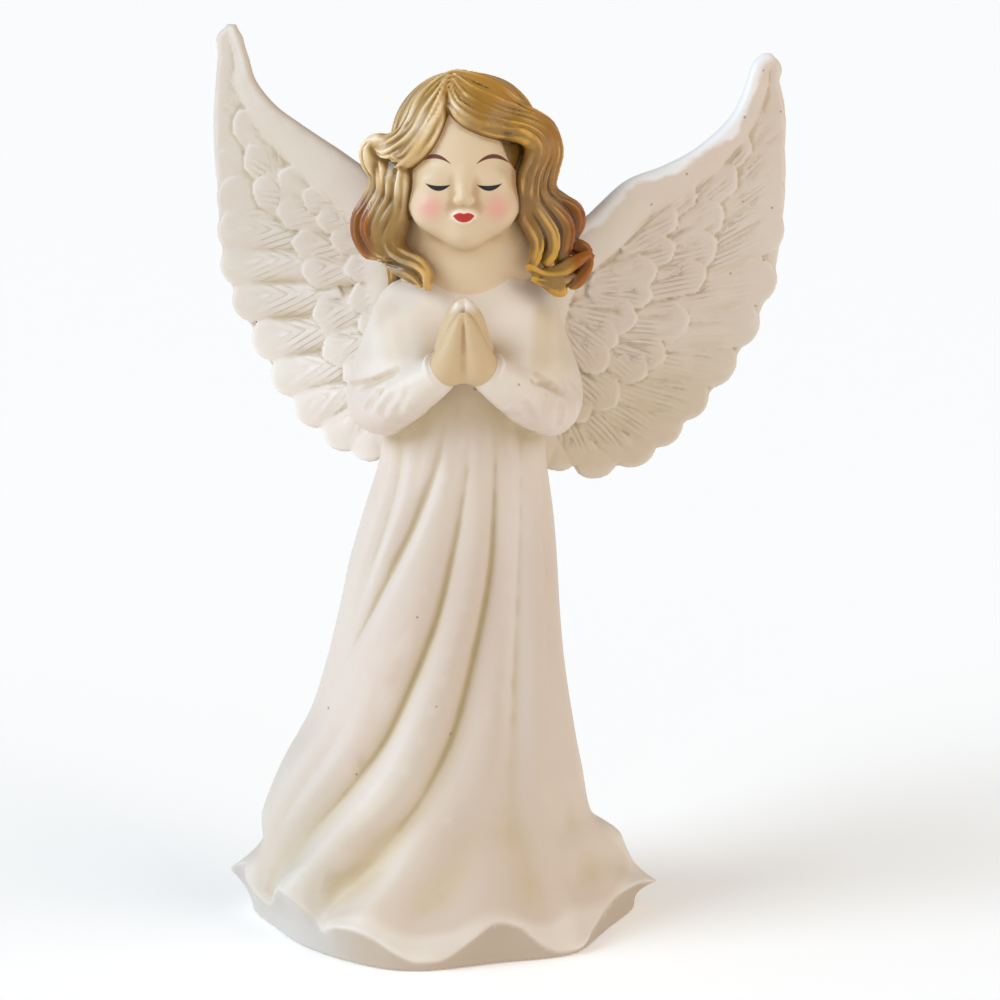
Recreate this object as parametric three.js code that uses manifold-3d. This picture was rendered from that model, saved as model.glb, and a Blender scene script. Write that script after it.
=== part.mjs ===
// Praying angel figurine, cast in one piece in filled resin: a long gown that
// sweeps to one side and ends in a scalloped hem, praying hands, wavy hair to the
// shoulders and two raised feathered wings. Millimetres, +Z up, front towards -Y,
// origin under the middle of the whole figure, on the surface that it stands on.
import * as THREE from "three";
import { mergeVertices } from "three/addons/utils/BufferGeometryUtils.js";
import { ParametricGeometry } from "three/addons/geometries/ParametricGeometry.js";
import Module from "manifold-3d";

// ---------------------------------------------------------------- driving sizes
const BODY_X = -6.14; // the body's own axis, from the middle of the wing span
const BODY_Y = 0.64; // and from the middle of the depth
const GOWN_STEP = 7; // about how many degrees a facet of the gown spans
const GOWN_RINGS = 23; // facets up the gown
const NECK_TOP = 119; // the neck ends inside the head
// Gown, trunk and neck: height, sideways centre, depth centre, half width, half depth.
const TRUNK = [
  [0, -3.9, -0.4, 34.2, 25.4],
  [6, -4.4, -0.4, 33.6, 24.8],
  [10.5, -4.9, -0.4, 31.8, 23.0],
  [15, -5.0, -0.4, 29.8, 21.4],
  [20, -5.8, -0.4, 27.4, 20.2],
  [28, -5.4, -0.4, 24.6, 18.8],
  [37, -3.8, -0.3, 21.5, 17.2],
  [46, -2.9, -0.2, 19.4, 15.8],
  [55, -2.2, -0.1, 17.9, 14.5],
  [63, -1.6, 0.0, 16.8, 13.2],
  [72, -0.7, 0.0, 15.1, 11.6],
  [80, 0.0, 0.2, 13.4, 10.4],
  [88, 0.2, 0.6, 12.8, 10.2],
  [96, 0.3, 1.0, 13.2, 10.3],
  [103, 0.6, 1.4, 13.8, 9.3],
  [107, 0.8, 1.5, 12.8, 8.2],
  [110, 0.9, 1.2, 9.8, 6.9],
  [113, 0.8, 0.6, 7.4, 6.0],
  [119, 0.5, 0.2, 6.6, 5.6],
];
// Fold valleys, round the gown: angle at the waist and at the hem (degrees from the
// front, to the right), heights where it starts and fades, depth, half width. The facets
// of the gown run along the ones that reach the hem.
const FOLDS = [
  { top: -150, hem: -160, from: 70, to: 0, depth: 0.12, wide: 9 },
  { top: -112, hem: -130, from: 70, to: 0, depth: 0.12, wide: 9 },
  { top: -62, hem: -98, from: 26, to: 0, depth: 0.08, wide: 8 },
  { top: 0, hem: -60, from: 90, to: 0, depth: 0.15, wide: 8 },
  { top: 25, hem: -39, from: 92, to: 0, depth: 0.17, wide: 8 },
  { top: 35, hem: -11, from: 30, to: 0, depth: 0.12, wide: 10 },
  { top: 47, hem: 33, from: 88, to: 0, depth: 0.12, wide: 9 },
  { top: 76, hem: 72, from: 40, to: 0, depth: 0.07, wide: 8 },
  { top: 102, hem: 112, from: 50, to: 0, depth: 0.12, wide: 9 },
  { top: 136, hem: 144, from: 70, to: 0, depth: 0.12, wide: 9 },
  { top: 172, hem: 176, from: 70, to: 0, depth: 0.12, wide: 9 },
  // creases that fade out before the hem
  { top: -20, hem: -116, from: 84, to: 34, depth: 0.12, wide: 8 },
  { top: -10, hem: -66, from: 40, to: 12, depth: 0.07, wide: 6 },
];
const FOLD_TOP = 80,
  FOLD_HEM = 3, // heights between which a fold swings round
  FOLD_SWING = 1.4; // and how late it does so
const HEM_LOW = 1.4,
  HEM_HIGH = 7.0; // the plain upright edge under the hem: in a valley, on a ridge
const ARM = {
  // shoulder, elbow, wrist on the left of the figure's front (x mirrors)
  points: [
    [-9.8, 2.0, 106.0],
    [-11.4, 1.4, 102],
    [-13.5, -0.4, 96],
    [-14.2, -3.2, 91.2],
    [-13.0, -6.0, 89.2],
    [-9.8, -10.2, 91.4],
    [-6.2, -12.8, 94.8],
    [-3.4, -14.2, 97.6],
  ],
  radius: [4.6, 4.9, 5.1, 5.3, 5.1, 4.6, 4.0, 3.2],
};
// Hands, palm to palm: height, half width of the pair, middle depth, half depth.
const HANDS = [
  [94.2, 4.2, -13.6, 3.6],
  [95.4, 5.0, -14.0, 4.6],
  [98.5, 5.5, -14.4, 4.9],
  [101.5, 5.2, -14.9, 4.7],
  [104.0, 4.0, -15.4, 4.2],
  [106.4, 2.7, -15.9, 3.6],
  [108.2, 1.5, -16.4, 2.9],
  [109.2, 0.7, -16.8, 1.8],
];
const HEAD = { centre: [0.3, -0.4, 128.6], half: [9.6, 10.4, 12.4] };
const NAPE = { centre: [1.0, 4.8, 118.6], half: [13.4, 7.6, 12.4] }; // hair behind the neck
const CAP = { centre: [0.6, 2.6, 131.0], half: [12.3, 11.0, 12.7] };
// Locks of hair: points along the lock, half width, half thickness.
const LOCKS = [
  { w: 3.8, h: 2.4, p: [[-1.6, -4.0, 142.2], [-3.8, -8.4, 138.6], [-6.8, -9.8, 134.2], [-10.4, -7.4, 131.0], [-14.0, -3.4, 131.6]] },
  { w: 4.2, h: 3.4, p: [[-9.4, 0.8, 134.6], [-12.4, -0.4, 127.6], [-13.6, 0.8, 121.6], [-13.8, 0.2, 117.2], [-11.4, -1.6, 112.6]] },
  { w: 3.8, h: 3.2, p: [[-7.6, -2.4, 130.2], [-10.2, -3.0, 122.6], [-10.8, -3.6, 116.6], [-8.6, -6.0, 112.8], [-5.8, -8.2, 108.6]] },
  { w: 3.8, h: 2.4, p: [[-1.4, -4.4, 142.0], [-0.4, -9.0, 137.8], [3.6, -10.2, 134.6], [8.8, -8.0, 133.0], [12.2, -4.2, 129.4]] },
  { w: 3.8, h: 2.6, p: [[-0.8, -2.6, 143.0], [4.6, -7.2, 139.0], [9.8, -5.6, 136.0], [13.2, -1.0, 132.4], [12.8, 0.8, 126.2]] },
  { w: 3.8, h: 3.2, p: [[10.0, -3.4, 131.0], [10.6, -4.0, 124.4], [12.2, -3.6, 119.6], [13.6, -2.8, 115.2], [11.4, -3.8, 110.6]] },
  { w: 4.2, h: 3.4, p: [[10.8, 1.0, 132.6], [12.6, 1.0, 125.0], [15.0, 1.0, 120.2], [15.8, 0.4, 115.8], [16.8, 0.6, 112.4], [14.6, -0.4, 107.8]] },
  { w: 4.8, h: 2.6, p: [[-6.6, 4.0, 140.4], [-11.0, 6.4, 131.0], [-11.4, 7.8, 120.0], [-11.4, 8.0, 108.6]] },
  { w: 4.8, h: 2.8, p: [[-2.4, 6.6, 142.2], [-5.2, 11.6, 132.0], [-4.8, 11.4, 119.0], [-5.2, 10.2, 106.6]] },
  { w: 4.8, h: 2.8, p: [[2.6, 6.6, 142.2], [3.6, 11.8, 131.6], [3.4, 11.6, 118.6], [2.6, 10.4, 106.0]] },
  { w: 4.8, h: 2.6, p: [[6.8, 4.4, 140.6], [10.8, 7.4, 131.0], [10.6, 9.0, 119.4], [10.2, 9.2, 107.6]] },
];
// Wings, seen from the front as outline curves (x, z) from the tip round to the root:
// edge = feather ends, bone = leading edge and root, cover = ends of the second row.
const WINGS = [
  {
    name: "right",
    back: 0.42, // how fast it goes back as it goes out
    edge: [[-38.6, 149.6], [-42.4, 139.6], [-42.0, 127.6], [-41.8, 115.2], [-39.4, 103.6], [-32.8, 90.4], [-22.9, 80.0], [-14.4, 77.6]],
    bone: [[-37.6, 148.6], [-35.6, 141.0], [-31.0, 136.4], [-23.6, 131.4], [-14.6, 124.6], [-8.6, 112.0], [-7.4, 98.0], [-7.6, 80.0]],
    cover: [[-37.0, 144.0], [-35.4, 131.0], [-31.0, 120.6], [-29.0, 114.0], [-27.0, 106.0], [-23.4, 97.4], [-18.0, 90.0], [-12.4, 86.0]],
  },
  {
    name: "left",
    back: 0.28,
    edge: [[50.6, 144.8], [54.6, 134.6], [54.2, 122.4], [52.8, 107.6], [46.4, 93.4], [37.2, 82.0], [25.4, 75.6], [15.0, 76.4]],
    bone: [[48.8, 143.6], [44.6, 134.6], [38.0, 128.8], [30.4, 125.0], [20.6, 118.8], [9.6, 108.6], [7.6, 96.0], [7.8, 79.4]],
    cover: [[48.6, 138.4], [47.0, 127.0], [43.2, 117.6], [40.6, 109.0], [37.4, 100.4], [32.0, 92.0], [24.0, 86.6], [14.0, 84.6]],
  },
];
const WING_ROOT_Y = 8.2,
  WING_ROOT_X = 8; // where the wings leave the back
const WING_HALF = 1.5; // half thickness of the wing plate
const LONG_FEATHERS = 11,
  COVER_FEATHERS = 8; // in each wing

// ------------------------------------------------------------------ small helpers
const wasm = await Module();
wasm.setup();
const rad = THREE.MathUtils.degToRad;
const clamp01 = (t) => Math.min(1, Math.max(0, t));
const smooth = (t) => {
  const c = clamp01(t);
  return c * c * (3 - 2 * c);
};
const vec = (a) => new THREE.Vector3(a[0], a[1], a[2]);
const curve = (points) =>
  new THREE.CatmullRomCurve3(points.map(vec), false, "catmullrom", 0.5);

// A row of TRUNK at a height, eased between its neighbours.
function trunkAt(z) {
  let i = 0;
  while (i < TRUNK.length - 2 && z > TRUNK[i + 1][0]) i++;
  const a = TRUNK[i],
    b = TRUNK[i + 1],
    before = TRUNK[Math.max(0, i - 1)],
    after = TRUNK[Math.min(TRUNK.length - 1, i + 2)];
  const span = b[0] - a[0],
    t = clamp01((z - a[0]) / span);
  return [1, 2, 3, 4].map((k) => {
    const m0 = i > 0 ? ((b[k] - before[k]) / (b[0] - before[0])) * span : b[k] - a[k];
    const m1 = i < TRUNK.length - 2 ? ((after[k] - a[k]) / (after[0] - a[0])) * span : b[k] - a[k];
    const t2 = t * t,
      t3 = t2 * t;
    return (2 * t3 - 3 * t2 + 1) * a[k] + (t3 - 2 * t2 + t) * m0 + (3 * t2 - 2 * t3) * b[k] + (t3 - t2) * m1;
  });
}

// A closed ring surface: point(u, v) goes round with u, and shrinks to a point at v 0 and 1.
function solid(point, around, along) {
  const made = new ParametricGeometry(
    (u, v, target) => target.copy(point(u === 1 ? 0 : u, v)),
    around,
    along,
  );
  made.deleteAttribute("normal");
  made.deleteAttribute("uv");
  return toSolid(made);
}

function toSolid(geometry) {
  const merged = mergeVertices(geometry, 1e-4);
  const all = merged.index.array,
    kept = [];
  for (let i = 0; i < all.length; i += 3)
    if (all[i] !== all[i + 1] && all[i + 1] !== all[i + 2] && all[i] !== all[i + 2])
      kept.push(all[i], all[i + 1], all[i + 2]);
  const build = (flip) => {
    const triVerts = new Uint32Array(kept);
    if (flip)
      for (let i = 0; i < triVerts.length; i += 3)
        [triVerts[i + 1], triVerts[i + 2]] = [triVerts[i + 2], triVerts[i + 1]];
    return new wasm.Manifold(
      new wasm.Mesh({ numProp: 3, vertProperties: merged.attributes.position.array, triVerts }),
    );
  };
  const first = build(false);
  return first.volume() < 0 ? build(true) : first;
}

// A rounded bar along a spine: side(t) and face(t) are the half-axis vectors there.
function bar(spine, side, face, around, along) {
  return solid(
    (u, v) => {
      const c = spine(v),
        a = u * 2 * Math.PI;
      return c.addScaledVector(side(v), Math.cos(a)).addScaledVector(face(v), Math.sin(a));
    },
    around,
    along,
  );
}

// --------------------------------------------------------------- gown, trunk, neck
function foldAngle(f, z) {
  const t = clamp01((FOLD_TOP - z) / (FOLD_TOP - FOLD_HEM));
  return f.top + (f.hem - f.top) * Math.pow(t, FOLD_SWING);
}
function turn(a, b) {
  return ((((a - b) % 360) + 540) % 360) - 180;
}
// How far the cloth stands in, as a share of the half width, at an angle and height.
function foldDepth(deg, z) {
  let sum = 0;
  for (const f of FOLDS) {
    const grow = smooth((f.from - z) / 16) * (f.to > 0 ? smooth((z - f.to) / 16) : 1);
    if (grow <= 0) continue;
    const wide = f.wide * (0.8 + 0.4 * clamp01((60 - z) / 60));
    const off = Math.abs(turn(deg, foldAngle(f, z))) / wide;
    sum += f.depth * grow * (0.55 + 0.45 * clamp01((70 - z) / 50)) * Math.exp(-Math.pow(off, 1.3));
  }
  return sum;
}
// Height of the upright edge under the hem: low in a valley and high on a ridge.
function hemHeight(deg) {
  let near = 0;
  for (const f of FOLDS) {
    if (f.to > 0) continue;
    const off = turn(deg, f.hem) / (f.wide * 1.1);
    near = Math.max(near, Math.exp(-off * off));
  }
  return HEM_HIGH + (HEM_LOW - HEM_HIGH) * near;
}
function gownPoint(deg, z, depth) {
  const [cx, cy, a, b] = trunkAt(z);
  const share = 1 + 0.035 * smooth((70 - z) / 60) - depth;
  const t = rad(deg);
  return new THREE.Vector3(cx + a * share * Math.sin(t), cy - b * share * Math.cos(t), z);
}
// The lines that the facets run along: each fold valley, and even steps between them.
function gownLines() {
  const valleys = FOLDS.filter((f) => f.to === 0),
    lines = [];
  valleys.forEach((f, i) => {
    const last = i === valleys.length - 1,
      g = valleys[(i + 1) % valleys.length],
      top = g.top + (last ? 360 : 0),
      hem = g.hem + (last ? 360 : 0);
    const steps = Math.max(3, Math.round((top - f.top + hem - f.hem) / 2 / GOWN_STEP));
    for (let k = 0; k < steps; k++)
      lines.push({ top: f.top + ((top - f.top) * k) / steps, hem: f.hem + ((hem - f.hem) * k) / steps });
  });
  return lines;
}
function gown() {
  const lines = gownLines();
  return solid(
    (u, v) => {
      const line = lines[Math.round(u * lines.length) % lines.length];
      const ring = v * GOWN_RINGS;
      const hem = hemHeight(line.hem);
      if (ring < 0.5) return new THREE.Vector3(TRUNK[0][1], TRUNK[0][2], 0);
      if (ring < 1.5) {
        const deg = foldAngle(line, hem);
        return gownPoint(deg, hem, foldDepth(deg, hem)).setZ(0);
      }
      if (ring > GOWN_RINGS - 0.5) return new THREE.Vector3(0.3, 0.2, NECK_TOP);
      // rings are closer together near the hem
      const t = (ring - 2) / (GOWN_RINGS - 3);
      const z = hem + (NECK_TOP - hem) * Math.pow(t, 1.12);
      const deg = foldAngle(line, z);
      return gownPoint(deg, z, foldDepth(deg, z));
    },
    lines.length,
    GOWN_RINGS,
  );
}

// --------------------------------------------------------------- arms, hands, head
function arm(side) {
  const line = curve(ARM.points.map((p) => [p[0] * side, p[1], p[2]]));
  const size = new THREE.CatmullRomCurve3(
    ARM.radius.map((r) => new THREE.Vector3(r, 0, 0)),
    false,
    "catmullrom",
    0.5,
  );
  const end = (v) => Math.sqrt(clamp01(1 - Math.pow(Math.abs(2 * v - 1), 8)));
  const frame = (v) => {
    const t = line.getTangent(clamp01(v));
    const s = new THREE.Vector3().crossVectors(t, new THREE.Vector3(0.2 * side, -0.4, 1)).normalize();
    return [s, new THREE.Vector3().crossVectors(s, t).normalize()];
  };
  const r = (v) => size.getPoint(v).x * end(v);
  return bar(
    (v) => line.getPoint(v),
    (v) => frame(v)[0].multiplyScalar(r(v)),
    (v) => frame(v)[1].multiplyScalar(r(v)),
    10,
    10,
  );
}
function hands() {
  // both hands as one pressed pair, with a crease down the middle where they meet
  const row = (v) => {
    const at = v * (HANDS.length - 1),
      i = Math.min(HANDS.length - 2, Math.floor(at));
    return HANDS[i].map((x, k) => x + (HANDS[i + 1][k] - x) * (at - i));
  };
  const steps = HANDS.length + 1;
  return solid(
    (u, v) => {
      const ring = Math.round(v * steps),
        [z, wide, y, deep] = row(clamp01((ring - 1) / (steps - 2))),
        shut = ring === 0 || ring === steps ? 0 : 1;
      const a = u * 2 * Math.PI,
        crease = 1 - 0.3 * Math.exp(-Math.pow(Math.cos(a) / 0.3, 2));
      return new THREE.Vector3(wide * Math.cos(a) * shut, y + deep * Math.sin(a) * crease * shut, z);
    },
    12,
    steps,
  );
}
function head() {
  const ball = new THREE.SphereGeometry(1, 18, 14).rotateX(Math.PI / 2);
  const p = ball.attributes.position;
  for (let i = 0; i < p.count; i++) {
    const x = p.getX(i),
      y = p.getY(i),
      z = p.getZ(i);
    const jaw = 1 - 0.14 * smooth((-z - 0.2) / 0.8); // narrower towards the chin
    p.setXYZ(
      i,
      HEAD.centre[0] + HEAD.half[0] * x * jaw,
      HEAD.centre[1] + HEAD.half[1] * y * (y > 0 ? jaw : 1) - (z < 0 ? 0.8 * z * z : 0),
      HEAD.centre[2] + HEAD.half[2] * z,
    );
  }
  ball.deleteAttribute("normal");
  ball.deleteAttribute("uv");
  return toSolid(ball);
}
function hair() {
  const cap = new THREE.SphereGeometry(1, 16, 12).rotateX(Math.PI / 2);
  cap.scale(...CAP.half).translate(...CAP.centre);
  cap.deleteAttribute("normal");
  cap.deleteAttribute("uv");
  const nape = new THREE.SphereGeometry(1, 14, 10).rotateX(Math.PI / 2);
  nape.scale(...NAPE.half).translate(...NAPE.centre);
  nape.deleteAttribute("normal");
  nape.deleteAttribute("uv");
  let whole = toSolid(cap).add(toSolid(nape));
  for (const lock of LOCKS) {
    const line = curve(lock.p),
      middle = new THREE.Vector3(0.4, 1.5, 0);
    const fat = (v) => Math.pow(Math.sin(Math.PI * (0.06 + 0.9 * v)), 0.55) * Math.sqrt(clamp01(1 - Math.pow(Math.abs(2 * v - 1), 12)));
    const frame = (v) => {
      const t = line.getTangent(clamp01(v)),
        c = line.getPoint(v);
      const out = c.clone().sub(middle).setZ(c.z > 136 ? (c.z - 130) * 1.2 : 0).normalize();
      const s = new THREE.Vector3().crossVectors(t, out).normalize();
      return [s, new THREE.Vector3().crossVectors(s, t).normalize()];
    };
    whole = whole.add(
      bar(
        (v) => line.getPoint(v),
        (v) => frame(v)[0].multiplyScalar(lock.w * fat(v)),
        (v) => frame(v)[1].multiplyScalar(lock.h * fat(v)),
        7,
        8,
      ),
    );
  }
  return whole;
}

// ------------------------------------------------------------------------- wings
function wing(w) {
  const flat = (points) => curve(points.map((p) => [p[0], 0, p[1]]));
  const edge = flat(w.edge),
    bone = flat(w.bone),
    cover = flat(w.cover);
  const out = Math.sign(w.edge[0][0]);
  const depth = (x) => WING_ROOT_Y + w.back * Math.max(0, Math.abs(x) - WING_ROOT_X);
  const lift = (p, more) => p.setY(depth(p.x) + more);
  const normal = new THREE.Vector3(-w.back * out, 1, 0).normalize(); // towards the back
  // the plate, from the bone to just inside the feather ends
  const inner = (v) => bone.getPoint(v);
  const outer = (v) => bone.getPoint(v).lerp(edge.getPoint(v), 0.94);
  const taper = (v) => Math.sqrt(clamp01(1 - Math.pow(Math.abs(2 * v - 1), 10)));
  let whole = bar(
    (v) => lift(inner(v).add(outer(v)).multiplyScalar(0.5), 0.3),
    (v) => {
      const a = lift(inner(v), 0),
        b = lift(outer(v), 0);
      return b.sub(a).multiplyScalar(0.5 * taper(v));
    },
    (v) => normal.clone().multiplyScalar((WING_HALF + 1.0 * Math.sin(Math.PI * clamp01(v * 1.1))) * taper(v)),
    8,
    12,
  );
  // one feather from a point under the row before it to its own rounded end
  const feather = (from, to, half, thick, more) => {
    const a = lift(from, more),
      b = lift(to, more - 0.5);
    const along = b.clone().sub(a),
      s = new THREE.Vector3().crossVectors(along, normal).normalize();
    const step = (v) => 0.5 - 0.5 * Math.cos(Math.PI * v); // closer together at the ends
    const shape = (v) => Math.sqrt(clamp01(1 - Math.pow(Math.abs(2 * step(v) - 1), 6)));
    return bar(
      (v) => a.clone().addScaledVector(along, step(v)),
      (v) => s.clone().multiplyScalar(half * shape(v)),
      (v) => normal.clone().multiplyScalar(thick * shape(v)),
      6,
      6,
    );
  };
  for (let i = 0; i < LONG_FEATHERS; i++) {
    const t = i / (LONG_FEATHERS - 1),
      e = edge.getPoint(t),
      from = bone.getPoint(Math.min(1, 0.26 + 0.72 * t)).lerp(e, i === 0 ? 0.15 : 0.42);
    whole = whole.add(feather(from, e, 2.3 + 1.6 * smooth(t * 5), 1.5, -0.2));
  }
  for (let i = 0; i < COVER_FEATHERS; i++) {
    const t = 0.1 + (0.86 * i) / (COVER_FEATHERS - 1),
      e = cover.getPoint(t),
      from = bone.getPoint(Math.min(1, 0.3 + 0.68 * t)).lerp(e, 0.3);
    whole = whole.add(feather(from, e, 3.6, 1.4, -1.3));
  }
  return whole;
}

// --------------------------------------------------------------------- the figure
let figure = gown();
for (const side of [1, -1]) figure = figure.add(arm(side));
figure = figure.add(hands()).add(head()).add(hair());
for (const w of WINGS) figure = figure.add(wing(w));
// the casting is solid: tiny closed pockets between the joined shapes are left out
figure = figure.decompose().reduce((a, b) => (b.volume() > a.volume() ? b : a));

const mesh = figure.getMesh();
const geometry = new THREE.BufferGeometry();
const place = new Float32Array(mesh.numVert * 3);
for (let i = 0; i < mesh.numVert; i++)
  place.set(mesh.vertProperties.subarray(i * mesh.numProp, i * mesh.numProp + 3), i * 3);
geometry.setAttribute("position", new THREE.BufferAttribute(place, 3));
geometry.setIndex(new THREE.BufferAttribute(mesh.triVerts, 1));
geometry.computeVertexNormals();

const painted = new THREE.MeshStandardMaterial({
  name: "ivory_painted_resin",
  color: new THREE.Color(0.86, 0.8, 0.72),
  roughness: 0.5,
  metalness: 0,
});
const angel = new THREE.Mesh(geometry, painted);
angel.name = "angel_figurine";
angel.position.set(BODY_X, BODY_Y, 0);

const part = new THREE.Group();
part.add(angel);
export default part;
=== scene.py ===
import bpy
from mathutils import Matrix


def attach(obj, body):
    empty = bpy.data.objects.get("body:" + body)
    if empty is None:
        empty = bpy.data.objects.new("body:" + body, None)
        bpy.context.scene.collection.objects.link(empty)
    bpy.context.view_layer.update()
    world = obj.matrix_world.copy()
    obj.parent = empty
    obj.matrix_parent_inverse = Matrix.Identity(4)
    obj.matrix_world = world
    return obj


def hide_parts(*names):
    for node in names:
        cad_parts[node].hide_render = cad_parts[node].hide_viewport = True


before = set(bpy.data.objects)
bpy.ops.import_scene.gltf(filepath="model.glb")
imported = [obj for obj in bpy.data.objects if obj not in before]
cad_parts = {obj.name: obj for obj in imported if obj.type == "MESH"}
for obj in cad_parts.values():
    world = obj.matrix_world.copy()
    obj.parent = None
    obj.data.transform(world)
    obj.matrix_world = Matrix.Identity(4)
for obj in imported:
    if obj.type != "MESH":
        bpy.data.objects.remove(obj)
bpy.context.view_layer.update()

# A small painted resin angel, sculpted as one closed skin. Every form (gown, sleeves, hands,
# head, locks of hair, feathers) is a distance field in millimetres around the body's own axis;
# the fields are joined with soft creases, turned into one mesh and painted by region.
import math
import bpy
import mathutils
import numpy as np
import openvdb as vdb

H = 0.3                              # grid step, mm
BODY = np.array([-6.14, 0.64, 0.0])  # body axis in the part's frame, mm
LO = np.array([-46.0, -29.0, -2.4])
HI = np.array([58.0, 27.5, 152.4])
N = np.ceil((HI - LO) / H).astype(int) + 1
FAR = np.float32(5.0)
f32 = np.float32


# ------------------------------------------------------------------ grid helpers
def sub(lo, hi):
    """the part of the grid between two corners, and its coordinates"""
    i0 = np.clip(np.floor((np.asarray(lo, float) - LO) / H).astype(int), 0, N - 1)
    i1 = np.clip(np.ceil((np.asarray(hi, float) - LO) / H).astype(int) + 1, 1, N)
    ax = [(LO[k] + H * np.arange(i0[k], i1[k])).astype(f32) for k in range(3)]
    return (tuple(slice(a, b) for a, b in zip(i0, i1)),
            ax[0][:, None, None], ax[1][None, :, None], ax[2][None, None, :])


def smin(a, b, k):
    if k <= 0:
        return np.minimum(a, b)
    h = np.maximum(f32(k) - np.abs(a - b), 0) / f32(k)
    return np.minimum(a, b) - h * h * f32(k * 0.25)


def smax(a, b, k):
    return -smin(-a, -b, k)


def step01(t):
    t = np.clip(t, 0.0, 1.0)
    return t * t * (3 - 2 * t)


def curve(points, n):
    """n points along a smooth curve through the given ones"""
    P = np.array(points, float)
    m = len(P) - 1
    P = np.vstack([2 * P[0] - P[1], P, 2 * P[-1] - P[-2]])
    t = np.linspace(0, m, n)
    i = np.minimum(t.astype(int), m - 1)
    f = (t - i)[:, None]
    a, b, c, d = P[i], P[i + 1], P[i + 2], P[i + 3]
    return 0.5 * (2 * b + (c - a) * f + (2 * a - 5 * b + 4 * c - d) * f ** 2 + (3 * b - a - 3 * c + d) * f ** 3)


def unit(v):
    return v / np.maximum(np.linalg.norm(v, axis=-1, keepdims=True), 1e-9)


class Field:
    """one painted region of the figure, as a distance field"""

    def __init__(self):
        self.a = np.full(N, FAR, f32)

    def put(self, sl, d, k):
        self.a[sl] = smin(self.a[sl], d.astype(f32), k)

    def cut(self, sl, d, k):
        self.a[sl] = smax(self.a[sl], -d.astype(f32), k)

    def blob(self, c, r, k, carve=False, tilt=0.0):
        """an ellipsoid; tilt turns it about the front-back axis, in degrees"""
        c = np.asarray(c, float)
        r = np.asarray(r, float) * np.ones(3)
        m = r.max() + 1.5 + k
        sl, X, Y, Z = sub(c - m, c + m)
        x, y, z = X - f32(c[0]), Y - f32(c[1]), Z - f32(c[2])
        if tilt:
            cs, sn = f32(math.cos(math.radians(tilt))), f32(math.sin(math.radians(tilt)))
            x, z = x * cs + z * sn, z * cs - x * sn
        q = np.sqrt((x / f32(r[0])) ** 2 + (y / f32(r[1])) ** 2 + (z / f32(r[2])) ** 2)
        g = np.sqrt((x / f32(r[0] ** 2)) ** 2 + (y / f32(r[1] ** 2)) ** 2 + (z / f32(r[2] ** 2)) ** 2)
        d = q * (q - 1) / np.maximum(g, 1e-4)
        d = np.where(q < 0.05, -f32(r.min()), d)
        (self.cut if carve else self.put)(sl, d, k)

    def band(self, pts, wide, thick, k, out=None, n=20, strands=0, amp=0.0, carve=False, ripple=None):
        """a rounded band along a curve: half width and half thickness at its points"""
        c = curve(pts, n)
        w = curve(np.array(wide, float)[:, None], n)[:, 0]
        h = curve(np.array(thick, float)[:, None], n)[:, 0]
        w, h = np.maximum(w, 0.15), np.maximum(h, 0.15)
        T = unit(np.gradient(c, axis=0))
        o = out(c) if out else np.tile([0.0, -1.0, 0.0], (n, 1))
        S = unit(np.cross(T, o))
        O = unit(np.cross(S, T))
        run = np.concatenate([[0], np.cumsum(np.linalg.norm(np.diff(c, axis=0), axis=1))])
        m = np.maximum(w, h).max() + 1.6 + k
        sl, X, Y, Z = sub(c.min(0) - m, c.max(0) + m)
        first = np.array([s.start for s in sl])
        shape = tuple(s.stop - s.start for s in sl)
        tmp = np.full(shape, FAR, f32)
        pull = np.zeros(shape, f32)
        for j in range(n - 1):
            mm = max(w[j], w[j + 1], h[j], h[j + 1]) + 1.5 + k
            s2, x, y, z = sub(np.minimum(c[j], c[j + 1]) - mm, np.maximum(c[j], c[j + 1]) + mm)
            loc = tuple(slice(s.start - f, s.stop - f) for s, f in zip(s2, first))
            d = (c[j + 1] - c[j]).astype(f32)
            L2 = max(float(d @ d), 1e-6)
            px, py, pz = x - f32(c[j][0]), y - f32(c[j][1]), z - f32(c[j][2])
            t = np.clip((px * d[0] + py * d[1] + pz * d[2]) / f32(L2), 0, 1)
            px, py, pz = px - t * d[0], py - t * d[1], pz - t * d[2]
            ln = np.sqrt(px * px + py * py + pz * pz)

            def mix(a, b):
                return f32(a) + t * f32(b - a)
            s = px * mix(S[j][0], S[j + 1][0]) + py * mix(S[j][1], S[j + 1][1]) + pz * mix(S[j][2], S[j + 1][2])
            q = px * mix(O[j][0], O[j + 1][0]) + py * mix(O[j][1], O[j + 1][1]) + pz * mix(O[j][2], O[j + 1][2])
            ww, hh = mix(w[j], w[j + 1]), mix(h[j], h[j + 1])
            rest = np.maximum(ln * ln - s * s - q * q, 0)
            e = np.sqrt((s / ww) ** 2 + (q / hh) ** 2 + rest / np.minimum(ww, hh) ** 2)
            e = np.maximum(e, 0.02)
            dist = ln - ln / e
            dist = np.where(ln < 0.02, -np.minimum(ww, hh), dist)
            if strands:
                dist = dist - f32(amp) * np.cos(s / ww * f32(math.pi * strands)) * np.clip(q / hh + 0.4, 0, 1) * (0.6 + 0.4 * np.cos(mix(run[j], run[j + 1]) * f32(0.55) + s / ww * 2 + f32(c[0][0])))
            if ripple:
                pull[loc] = np.where(dist < tmp[loc], ripple(mix(run[j], run[j + 1]), s / ww, q / hh), pull[loc])
            tmp[loc] = np.minimum(tmp[loc], dist)
        (self.cut if carve else self.put)(sl, tmp - pull, k)

    def front(self, x, z):
        """depth of the foremost surface at x, z"""
        i, k = (int(round((v - l) / H)) for v, l in ((x, LO[0]), (z, LO[2])))
        col = self.a[i, :, k]
        j = int(np.argmax(col < 0))
        return LO[1] + H * (j - col[j] / min(col[j] - col[j - 1], -1e-6)) if j else 0.0

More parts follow.
